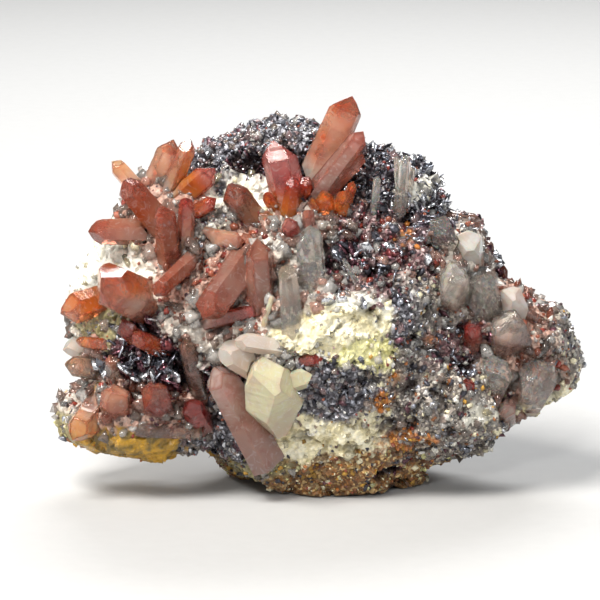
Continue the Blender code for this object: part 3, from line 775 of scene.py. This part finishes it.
# kind: seeds, tilt in degrees (least, most), (width, depth, height) in sizes, how deep its foot stands
KINDS = {
    "clear": (POINTS, (10, 75), (0.60, 0.60, 0.80), -0.16),
    "chunk": (GRAINS, (0, 90), (0.80, 0.80, 1.15), -0.18),
    "stained": (POINTS, (10, 75), (0.60, 0.60, 0.80), -0.14),
    "column": (POINTS, (50, 82), (0.40, 0.40, 0.95), -0.10),
    "milk": (GRAINS, (0, 90), (1.00, 0.80, 0.80), -0.20),
    "iron": (GRAINS, (0, 90), (1.10, 0.90, 0.60), -0.12),
    "earth": (GRAINS, (0, 90), (1.00, 0.90, 0.80), -0.10),
    "plate": (PLATES, (10, 85), (1.00, 1.00, 0.90), -0.10),
    "blade": (BLADES, (30, 85), (0.55, 1.60, 0.60), -0.10),
}
rng = random.Random(23)
growth_rows = {kind: [] for kind in KINDS}
for place, normal, mineral, low in zip(spot_places, spot_normals, spot_minerals, on_base):
    if low:
        continue
    choices = GROWTH[mineral_names[mineral]]
    share, kind, tints, least, most = rng.choices(choices, [row[0] for row in choices])[0]
    if kind is None:
        continue
    seeds, tilts, shape, foot = KINDS[kind]
    size = (least + (most - least) * rng.random() ** 2.2) * MM
    tint = Vector(rng.choice(tints)) * rng.uniform(0.55, 1.35)
    matrix = stand(
        place + normal * foot * size, normal, math.radians(rng.uniform(*tilts)), rng.uniform(0, math.tau),
        [size * side * rng.uniform(0.75, 1.3) for side in shape],
    )
    growth_rows[kind].append((rng.randrange(12), matrix, tint))
print({kind: len(rows) for kind, rows in growth_rows.items()})

# %% [markdown]
# ## Finishes of the small things
# Quartz is glass-clear with an index of refraction of 1.544; milky and stained grains let only part
# of the light through. Hematite plates are metallic mirrors, dulled by a fine noise. Earthy
# grains are matt. All read the tint painted on their copy, and darken it towards the foot: painted
# shade where the copy meets the rock.

# %% Small finishes
QUARTZ_IOR = 1.544


def small_finish(name, roughness, metallic=0.0, transmission=0.0, scatter=0.0, bump=0.3):
    material, tree, surface, _ = new_material(name)
    tint = add_node(tree, "ShaderNodeAttribute", attribute_name="tint").outputs["Color"]
    height = add_node(tree, "ShaderNodeAttribute", attribute_name="height").outputs["Fac"]
    where = add_node(tree, "ShaderNodeTexCoord").outputs["Object"]
    fine = add_node(tree, "ShaderNodeTexNoise", {"Vector": where}, Scale=3000.0, Detail=4.0).outputs["Fac"]
    # Painted shade: each copy is up to 30 % darker at its foot, where it meets the rock.
    shade = ramp(tree, height, 0.0, 0.7, 0.70, 1.0)
    cloud = ramp(tree, fine, 0.35, 0.65, 0.80, 1.12)
    both = add_node(tree, "ShaderNodeMath", {0: shade, 1: cloud}, operation="MULTIPLY").outputs[0]
    grey = add_node(tree, "ShaderNodeCombineColor", {"Red": both, "Green": both, "Blue": both})
    colour = blend_colours(tree, 1.0, tint, grey.outputs[0], "MULTIPLY")
    tree.links.new(colour, surface.inputs["Base Color"])
    tree.links.new(ramp(tree, fine, 0.3, 0.7, *roughness), surface.inputs["Roughness"])
    surface.inputs["Metallic"].default_value = metallic
    surface.inputs["Transmission Weight"].default_value = transmission
    surface.inputs["IOR"].default_value = QUARTZ_IOR
    surface.inputs["Subsurface Weight"].default_value = scatter
    surface.inputs["Subsurface Radius"].default_value = (1.0, 0.7, 0.5)
    surface.inputs["Subsurface Scale"].default_value = 0.0008
    relief = add_node(tree, "ShaderNodeBump", {"Height": fine}, Strength=bump, Distance=0.00005)
    tree.links.new(relief.outputs["Normal"], surface.inputs["Normal"])
    return material


# kind: (piece name, material, slot)
FINISHES = {
    "clear": ("drusy_quartz", small_finish("drusy_quartz", (0.02, 0.10), transmission=0.72), "clear_quartz"),
    "chunk": ("quartz_chunks", small_finish("quartz_chunks", (0.02, 0.14), transmission=0.68), "clear_quartz"),
    "stained": ("stained_druse", small_finish("stained_druse", (0.03, 0.18), transmission=0.45), "red_quartz"),
    "column": ("quartz_columns", small_finish("quartz_columns", (0.02, 0.12), transmission=0.80), "clear_quartz"),
    "milk": ("milky_grains", small_finish("milky_grains", (0.15, 0.45), transmission=0.20), "cream_quartz"),
    "iron": ("hematite_grains", small_finish("hematite_grains", (0.20, 0.45), metallic=0.45), "hematite_rock"),
    "plate": ("hematite_plates", small_finish("hematite_plates", (0.10, 0.32), metallic=0.85), "hematite_rock"),
    "blade": ("specular_blades", small_finish("specular_blades", (0.14, 0.35), metallic=0.85), "hematite_rock"),
    "earth": ("ochre_grains", small_finish("ochre_grains", (0.55, 0.85), bump=0.8), "hematite_rock"),
}
for kind, (name, material, slot) in FINISHES.items():
    seeds = KINDS[kind][0]
    piece = settle(joined_copies(name, seeds, growth_rows[kind]), material, slot)
    print(name, len(growth_rows[kind]), "copies,", len(piece.data.polygons), "faces")

# %% [markdown]
# ## The large crystals
# The solids give each crystal its six sides and its pointed end. A real one also has worn edges and
# fine steps across its sides, because it grew in layers along its length. So each is copied, its
# flat faces are rejoined, its outer edges are bevelled, and planes square to its axis cut it into
# bands. The bands then move in and out by a few hundredths of a millimetre.

# %% Find a crystal's long axis
rock_surface = bvhtree.BVHTree.FromPolygons(
    [Vector(place) for place in smooth_places], [list(face.vertices) for face in rock.data.polygons]
)


def long_axis(obj):
    """The direction of the sides, from the foot to the tip: the one least covered by the normals."""
    sides = np.zeros((3, 3))
    for face in obj.data.polygons:
        normal = np.array(face.normal)
        sides += face.area * np.outer(normal, normal)
    axis = np.linalg.eigh(sides)[1][:, 0]
    places = points_of(obj)
    along = places @ axis
    ends = [Vector(places[along >= np.quantile(along, 0.8)].mean(axis=0)),
            Vector(places[along <= np.quantile(along, 0.2)].mean(axis=0))]
    high, low = [rock_surface.find_nearest(end)[3] for end in ends]
    return Vector(axis) if high > low else -Vector(axis)


# %% Refine one crystal
EDGE_WEAR = 0.07 * MM
BAND_SPACING = 0.50 * MM
BAND_STEP = 0.030           # mm
GRID_SPACING = 0.75 * MM
EDGE_SHADE_REACH = 0.22 * MM       # how far the darkened edge reaches in: painted shade with some stain
FACET_ANGLE = math.radians(4)
WORN_ANGLE = math.radians(18)


def refine_crystal(node, name):
    crystal = copy_of_node(node, name)
    axis = long_axis(crystal)
    along = points_of(crystal) @ np.array(axis)
    foot, length = along.min(), np.ptp(along)
    edit(crystal)
    bpy.ops.mesh.dissolve_limited(angle_limit=FACET_ANGLE)
    leave_edit()
    lines = wear_edges(crystal, axis, foot + 0.12 * length)
    cut_grid(crystal, axis, foot, length)
    places = points_of(crystal)
    # Painted shade with some stain: the nearer an edge, the darker the tint, as refraction darkens the rims.
    paint(crystal, "edge", np.exp(-distance_to_lines(places, lines) / EDGE_SHADE_REACH))
    paint(crystal, "growth", (places @ np.array(axis) - foot) / MM)
    paint_tint(crystal, node, places, (places @ np.array(axis) - foot) / length)
    step_bands(crystal, axis, foot, length)
    return crystal


def wear_edges(crystal, axis, above):
    """Bevels the sharp edges past the foot, and returns where they ran as pairs of points."""
    edit(crystal, "DESELECT")
    shape = bmesh.from_edit_mesh(crystal.data)
    lines = []
    for line in shape.edges:
        free = all(end.co.dot(axis) > above for end in line.verts)
        line.select_set(free and line.is_manifold and line.calc_face_angle(0) > WORN_ANGLE)
        if line.select:
            lines.append([tuple(end.co) for end in line.verts])
    bmesh.update_edit_mesh(crystal.data)
    bpy.ops.mesh.select_mode(type="EDGE")
    bpy.ops.mesh.bevel(offset=EDGE_WEAR, segments=1, affect="EDGES", clamp_overlap=True)
    leave_edit()
    return np.array(lines)


def distance_to_lines(places, lines):
    """How far each place is from the nearest of the lines."""
    starts, spans = lines[:, 0], lines[:, 1] - lines[:, 0]
    shares = ((places[:, None] - starts) * spans).sum(axis=2) / (spans ** 2).sum(axis=1)
    nearest = starts + np.clip(shares, 0, 1)[:, :, None] * spans
    return np.linalg.norm(places[:, None] - nearest, axis=2).min(axis=1)


def cut_grid(crystal, axis, foot, length):
    """Cuts bands square to the axis, as growth does, and two rows of planes along it."""
    rng = random.Random(crystal.name)
    place = foot + 0.10 * length
    cuts = []
    while place < foot + length:
        cuts.append((axis, place))
        place += BAND_SPACING * rng.uniform(0.5, 1.6)
    across = axis.orthogonal().normalized()
    for side in (across, axis.cross(across)):
        reach = points_of(crystal) @ np.array(side)
        cuts += [(side, place) for place in np.arange(reach.min() + GRID_SPACING / 2, reach.max(), GRID_SPACING)]
    edit(crystal)
    for side, place in cuts:
        bpy.ops.mesh.select_all(action="SELECT")
        bpy.ops.mesh.bisect(plane_co=side * place, plane_no=side)
    leave_edit()


def step_bands(crystal, axis, foot, length):
    """Moves the bands of the sides in and out by a few hundredths of a millimetre."""
    places = points_of(crystal)
    along = places @ np.array(axis)
    seed = sum(map(ord, crystal.name))
    step = np.array([noise.noise(Vector((level / MM * 1.9, 0.5, seed))) for level in along])
    middle = places.mean(axis=0)
    radial = places - middle - np.outer((places - middle) @ np.array(axis), np.array(axis))
    radial /= np.maximum(np.linalg.norm(radial, axis=1), 1e-9)[:, None]
    free = np.clip((along - foot) / length * 4 - 0.6, 0, 1) * (along < foot + 0.93 * length)
    put_points(crystal, places + radial * (step * free * BAND_STEP * MM * 2)[:, None])


# %% [markdown]
# ## Colour along a crystal
# The iron that stains quartz came and went as the crystal grew. So most have a paler foot, a
# coloured body and a tip of their own. Those three tints are blended along the axis. Some crystals
# also hold a glow: a soft spot of another tint, given by its middle and its reach. The tints are
# painted on the crystal's points, so each one has its own face.

# %% Tints of the crystals
PALE = (0.84, 0.79, 0.72)
BEIGE = (0.74, 0.60, 0.49)
PEACH = (0.88, 0.54, 0.36)
HONEY = (0.92, 0.56, 0.22)
FLAME = (0.90, 0.30, 0.05)
EMBER = (0.68, 0.17, 0.045)
TERRACOTTA = (0.60, 0.245, 0.155)
BRICK = (0.43, 0.115, 0.068)
RUBY = (0.60, 0.09, 0.075)
PINK = (0.80, 0.42, 0.38)
GARNET = (0.32, 0.040, 0.032)
MAUVE = (0.52, 0.35, 0.31)
UMBER = (0.42, 0.25, 0.18)
CHALK = (0.92, 0.90, 0.86)
PRIMROSE = (0.86, 0.81, 0.54)

# crystal: foot, middle, tip
CRYSTAL_TINTS = {
    "left_wedge": (BEIGE, PALE, PALE), "left_glint": (BRICK, FLAME, PEACH),
    "pale_stub": (SMOKE, BEIGE, PEACH), "honey_plate": (HONEY, PEACH, HONEY),
    "left_splinter": (TERRACOTTA, EMBER, HONEY), "fan_left_point": (BEIGE, TERRACOTTA, BRICK),
    "phantom_eye": (BRICK, TERRACOTTA, EMBER), "hex_stub": (UMBER, TERRACOTTA, PEACH),
    "amber_post": (UMBER, SMOKE, TERRACOTTA), "fan_outrigger": (SMOKE, PEACH, HONEY),
    "back_smoky": (SMOKE, BEIGE, MAUVE), "garnet_beads": (GARNET, EMBER, GARNET),
    "fan_big_red": (PEACH, TERRACOTTA, BRICK), "low_prism": (SMOKE, MAUVE, BEIGE),
    "fan_twins": (PALE, PEACH, PEACH), "dark_eye": (MAUVE, BRICK, TERRACOTTA),
    "salmon_lean": (ROSE, TERRACOTTA, BRICK), "fan_upright": (PEACH, TERRACOTTA, BRICK),
    "back_fan": (BEIGE, TERRACOTTA, BRICK), "fan_ruby_tip": (PEACH, EMBER, PINK),
    "fan_sprig": (PEACH, TERRACOTTA, RUBY), "smoky_post": (SMOKE, MAUVE, UMBER),
    "fan_dart": (EMBER, BRICK, RUBY), "garnet_low": (MAUVE, RUBY, GARNET),
    "centre_pair": (TERRACOTTA, ROSE, BRICK), "striated_plate": (ROSE, PEACH, TERRACOTTA),
    "centre_dart": (ROSE, BRICK, RUBY), "rose_log": (MAUVE, ROSE, PALE),
    "sugar_block": (PALE, BEIGE, PALE), "pitted_crystal": (PEACH, UMBER, BRICK),
    "sulphur_chunk": (BEIGE, PRIMROSE, PRIMROSE), "back_amber": (PEACH, HONEY, EMBER),
    "gold_needle": (HONEY, PRIMROSE, PRIMROSE), "ruby_spray": (FLAME, RUBY, PINK),
    "clear_prism": (PALE, PALE, BEIGE), "rosy_bud": (TERRACOTTA, RUBY, PINK),
    "lower_red": (ROSE, BRICK, RUBY), "frosted_column": (PALE, CHALK, CHALK),
    "crown": (PALE, PEACH, TERRACOTTA), "rosy_sliver": (ROSE, PINK, ROSE),
    "crown_second": (MAUVE, ROSE, TERRACOTTA), "orange_cluster": (EMBER, FLAME, EMBER),
    "back_clear": (PALE, CHALK, PALE), "silver_blade": (CHALK, CHALK, CHALK),
    "back_chunk": (PRIMROSE, BEIGE, PALE), "thin_finger": (PALE, CHALK, PALE),
    "thin_spray": (MAUVE, PALE, CHALK), "back_red": (ROSE, RUBY, BRICK),
    "right_clear": (PALE, CHALK, PALE), "right_grey": (MAUVE, PALE, CHALK),
    "right_cream": (BEIGE, CHALK, PALE), "right_red": (BRICK, RUBY, BRICK),
    "right_garnet": (MAUVE, BRICK, RUBY), "right_white": (BEIGE, CHALK, PALE),
    "right_glass": (PALE, PALE, CHALK), "right_smoky": (SMOKE, MAUVE, PALE),
    "horn_pink": (PALE, ROSE, PALE), "right_cap": (BEIGE, CHALK, PALE),
    "horn_clear": (BEIGE, PALE, CHALK),
}
# tint, middle (x, y, z), reach (x, y, z) in mm
GLOWS = {
    "twin_flame": ((0.98, 0.42, 0.04), (-18.4, -4, 43.4), (1.5, 5, 3.2)),
    "twin_blush": (BRICK, (-19.8, -4, 46.4), (0.9, 5, 1.8)),
    "ruby_tip_foot": (FLAME, (-16.2, -6.5, 40.2), (1.8, 5, 1.5)),
    "big_red_ember": (EMBER, (-24.4, -11, 39.2), (1.2, 5, 2.6)),
    "upright_bead": (GARNET, (-20.2, -14, 34.0), (1.0, 4, 1.0)),
    "eye_middle": (PALE, (-24.8, -15, 27.6), (2.1, 4, 1.8)),
    "eye_rim_high": (FLAME, (-25.2, -14, 30.0), (2.4, 4, 1.0)),
    "eye_rim_low": (EMBER, (-23.0, -14, 26.4), (1.0, 4, 1.6)),
    "eye_left": (BRICK, (-29.0, -13, 28.6), (1.2, 4, 2.6)),
    "left_glint_core": (FLAME, (-31.0, -10, 26.6), (1.4, 4, 1.4)),
    "crown_patch_high": (EMBER, (2.4, -6, 52.4), (1.2, 4, 1.3)),
    "crown_patch_low": (EMBER, (0.2, -6, 48.8), (0.9, 4, 1.2)),
    "crown_patch_left": (EMBER, (-0.6, -6, 46.6), (1.0, 4, 1.4)),
    "spray_foot": (FLAME, (-5.8, -9, 39.4), (3.0, 4, 1.8)),
    "spray_shade": (GARNET, (-5.4, -9, 43.0), (0.8, 4, 1.0)),
    "dark_pupil": (GARNET, (-21.9, -15, 13.6), (1.0, 3, 0.9)),
    "log_speck": (PINK, (-12.6, -15, 16.6), (1.6, 4, 2.2)),
    "second_blush": (PINK, (5.0, -8, 49.0), (1.6, 4, 1.6)),
    "honey_shade": (MAUVE, (-31.2, -11, 13.4), (1.3, 4, 1.3)),
    "stub_rim": (BRICK, (-27.2, -15, 12.4), (1.8, 4, 0.8)),
}


def tint_at(node, places, along):
    """The blended tint of a crystal's points, before noise breaks it up."""
    foot, middle, tip = [np.array(tint) for tint in CRYSTAL_TINTS[node]]
    low, high = np.clip(along / 0.5, 0, 1)[:, None], np.clip((along - 0.5) / 0.5, 0, 1)[:, None]
    tint = foot + (middle - foot) * low + (tip - middle) * high
    for glow, centre, reach in GLOWS.values():
        away = (((places / MM - centre) / reach) ** 2).sum(axis=1)
        tint += (np.array(glow) - tint) * np.exp(-away)[:, None] * 0.9
    return tint


def paint_tint(obj, node, places, along):
    paint(obj, "tint", np.c_[tint_at(node, places, along), np.ones(len(places))], "FLOAT_COLOR")


print(len(CRYSTAL_TINTS), "crystals have tints,", len(GLOWS), "glows")

# %% [markdown]
# ## Quartz as glass
# Each finish is plain glass with an index of 1.544 and its own absorption, so thick crystals are
# deeper in colour. What stains quartz here is hematite dust and iron. Clouds of it, milky veils and
# specks break up the painted tint. These three are one group, shared by all six finishes. Near the
# edges the tint darkens: painted shade for the dark rims that refraction gives, with some stain.

# %% Groups for quartz
cloud_group, given, out = new_group(
    "iron_clouds",
    [("Size", "NodeSocketFloat", 2.0)],
    [("Cloud", "NodeSocketFloat"), ("Veil", "NodeSocketFloat"), ("Dust", "NodeSocketFloat")],
)
where = add_node(cloud_group, "ShaderNodeTexCoord").outputs["Object"]
scale = add_node(cloud_group, "ShaderNodeMath", operation="DIVIDE")
scale.inputs[0].default_value = 1000.0
cloud_group.links.new(given.outputs["Size"], scale.inputs[1])
wide = add_node(
    cloud_group, "ShaderNodeTexNoise", {"Vector": where, "Scale": scale.outputs[0]}, Detail=4.0, Distortion=0.6
)
cloud_group.links.new(ramp(cloud_group, wide.outputs["Fac"], 0.42, 0.66), out.inputs["Cloud"])
thin = add_node(cloud_group, "ShaderNodeTexNoise", {"Vector": where}, Scale=700.0, Detail=6.0, Distortion=2.5)
cloud_group.links.new(ramp(cloud_group, thin.outputs["Fac"], 0.50, 0.72), out.inputs["Veil"])
specks = add_node(cloud_group, "ShaderNodeTexVoronoi", {"Vector": where}, Scale=3200.0)
near = ramp(cloud_group, specks.outputs["Distance"], 0.16, 0.30, 1.0, 0.0)
patchy = ramp(cloud_group, wide.outputs["Fac"], 0.52, 0.62)
dust = add_node(cloud_group, "ShaderNodeMath", {0: near, 1: patchy}, operation="MULTIPLY").outputs[0]
cloud_group.links.new(dust, out.inputs["Dust"])

# %% Quartz finishes
# name: tint of dust and edge shade, cloud tint, shares of edge shade, cloud, veil and dust,
# transmission, roughness, absorbed tint, density in 1/m
QUARTZ = {
    "red_quartz": (GARNET, GARNET, (0.60, 0.40, 0.30, 0.25), 0.74, (0.01, 0.09), (0.95, 0.45, 0.34), 110.0),
    "amber_quartz": (BRICK, BRICK, (0.60, 0.35, 0.35, 0.20), 0.78, (0.01, 0.09), (0.98, 0.66, 0.40), 80.0),
    "salmon_quartz": (BRICK, BRICK, (0.60, 0.40, 0.38, 0.20), 0.74, (0.01, 0.10), (0.95, 0.66, 0.54), 80.0),
    "smoky_quartz": (UMBER, UMBER, (0.40, 0.30, 0.40, 0.0), 0.87, (0.01, 0.08), (0.86, 0.74, 0.68), 80.0),
    "clear_quartz": (BEIGE, BEIGE, (0.25, 0.30, 0.45, 0.0), 0.90, (0.01, 0.08), (0.93, 0.92, 0.90), 30.0),
    "cream_quartz": (BEIGE, BEIGE, (0.25, 0.55, 0.45, 0.0), 0.55, (0.05, 0.24), (0.95, 0.93, 0.80), 60.0),
}


def quartz_finish(name, dust_and_edge_shade, cloud, shares, transmission, roughness, absorbed, density):
    edge_share, cloud_share, veil_share, dust_share = shares
    material, tree, surface, output = new_material(name)
    tint = add_node(tree, "ShaderNodeAttribute", attribute_name="tint").outputs["Color"]
    growth = add_node(tree, "ShaderNodeAttribute", attribute_name="growth").outputs["Fac"]
    edge = add_node(tree, "ShaderNodeAttribute", attribute_name="edge").outputs["Fac"]
    inside = use_group(tree, cloud_group, Size=2.0)
    colour = blend_colours(tree, ramp(tree, inside.outputs["Cloud"], 0, 1, 0, cloud_share), tint, cloud)
    colour = blend_colours(tree, ramp(tree, inside.outputs["Veil"], 0, 1, 0, veil_share), colour, CHALK)
    colour = blend_colours(tree, ramp(tree, inside.outputs["Dust"], 0, 1, 0, dust_share), colour, dust_and_edge_shade)
    # Painted shade with some stain: the tint darkens towards the edges.
    colour = blend_colours(tree, ramp(tree, edge, 0.25, 0.9, 0, edge_share), colour, dust_and_edge_shade)
    tree.links.new(colour, surface.inputs["Base Color"])
    lines = add_node(tree, "ShaderNodeTexNoise", noise_dimensions="1D", Scale=7.0, Detail=3.0)
    tree.links.new(growth, lines.inputs["W"])
    tree.links.new(ramp(tree, inside.outputs["Veil"], 0, 1, *roughness), surface.inputs["Roughness"])
    relief = add_node(tree, "ShaderNodeBump", {"Height": lines.outputs["Fac"]}, Strength=0.3, Distance=0.00006)
    where = add_node(tree, "ShaderNodeTexCoord").outputs["Object"]
    hillocks = add_node(tree, "ShaderNodeTexVoronoi", {"Vector": where}, Scale=800.0, feature="SMOOTH_F1")
    uneven = add_node(
        tree, "ShaderNodeBump", {"Height": hillocks.outputs["Distance"], "Normal": relief.outputs["Normal"]},
        Strength=0.16, Distance=0.00012,
    )
    tree.links.new(uneven.outputs["Normal"], surface.inputs["Normal"])
    surface.inputs["Transmission Weight"].default_value = transmission
    surface.inputs["IOR"].default_value = QUARTZ_IOR
    surface.inputs["Subsurface Weight"].default_value = 0.5
    surface.inputs["Subsurface Radius"].default_value = (1.0, 0.55, 0.4)
    surface.inputs["Subsurface Scale"].default_value = 0.0012
    absorb = add_node(tree, "ShaderNodeVolumeAbsorption", Density=density)
    absorb.inputs["Color"].default_value = (*absorbed, 1)
    tree.links.new(absorb.outputs[0], output.inputs["Volume"])
    return material


quartz_materials = {name: quartz_finish(name, *row) for name, row in QUARTZ.items()}
print(list(quartz_materials))

# %% Make every large crystal
slots = {part["node"]: part["material_slot"] for part in frame["record"]["subparts"]}
crystals = {}
for node in sorted(NODES):
    if node == "hematite_matrix":
        continue
    crystal = refine_crystal(node, f"{node}_crystal")
    only(crystal)
    bpy.ops.object.shade_flat()
    crystals[node] = settle(crystal, quartz_materials[slots[node]], slots[node], node)
print(len(crystals), "crystals,", sum(len(c.data.polygons) for c in crystals.values()), "faces")

# %% [markdown]
# ## Phantoms
# A crystal that was dusted with hematite while it grew, and then grew on, keeps its younger self
# inside it as a coloured phantom. Each is the crystal's own shape, melted a little and drawn in from
# its faces. It is patchy, so one looks past it into the clear part behind.

# %% Make the phantoms
PHANTOM_VOXEL = 0.40 * MM
PHANTOM_DEPTH = 0.75        # how far under the faces, in shares of the volume over the area
PHANTOM_WARP = 0.16         # mm
PHANTOM_SLOTS = ("red_quartz", "amber_quartz", "salmon_quartz", "smoky_quartz")


def make_phantom(node):
    phantom = copy_of_node(node, f"{node}_phantom")
    axis = np.array(long_axis(phantom))
    apply_modifier(phantom, "REMESH", mode="VOXEL", voxel_size=PHANTOM_VOXEL)
    apply_modifier(phantom, "SMOOTH", iterations=4)
    places, normals = points_of(phantom), normals_of(phantom)
    shape = bmesh.new()
    shape.from_mesh(phantom.data)
    depth = PHANTOM_DEPTH * shape.calc_volume() / sum(face.calc_area() for face in shape.faces)
    shape.free()
    warp = np.array([noise.noise(Vector(place) * 0.8) for place in places / MM])
    put_points(phantom, places - normals * (depth + warp * PHANTOM_WARP * MM)[:, None])
    apply_modifier(phantom, "SMOOTH", iterations=3)
    places = points_of(phantom)
    along = places @ axis
    paint_tint(phantom, node, places, (along - along.min()) / np.ptp(along))
    only(phantom)
    bpy.ops.object.shade_smooth()
    return phantom


def phantom_finish():
    material, tree, surface, _ = new_material("iron_phantom")
    tint = add_node(tree, "ShaderNodeAttribute", attribute_name="tint").outputs["Color"]
    inside = use_group(tree, cloud_group, Size=1.9)
    colour = blend_colours(tree, ramp(tree, inside.outputs["Veil"], 0, 1, 0, 0.5), tint, PEACH)
    tree.links.new(colour, surface.inputs["Base Color"])
    tree.links.new(ramp(tree, inside.outputs["Cloud"], 0.0, 1.0, 0.20, 0.80), surface.inputs["Alpha"])
    surface.inputs["Roughness"].default_value = 0.6
    surface.inputs["Subsurface Weight"].default_value = 0.4
    surface.inputs["Subsurface Radius"].default_value = (1.0, 0.5, 0.3)
    surface.inputs["Subsurface Scale"].default_value = 0.0008
    return material


phantoms = [make_phantom(node) for node in crystals if slots[node] in PHANTOM_SLOTS]
only(phantoms[0])
for phantom in phantoms:
    phantom.select_set(True)
bpy.ops.object.join()
phantoms = bpy.context.object
phantoms.name = "iron_phantoms"
settle(phantoms, phantom_finish(), "red_quartz")
print("phantoms", len(phantoms.data.polygons), "faces")

# %% [markdown]
# ## Clear up
# The seeds have done their work. Everything left belongs to the specimen or to the stage.

# %% Finish
for seed in SEEDS:
    bpy.data.objects.remove(seed, do_unlink=True)
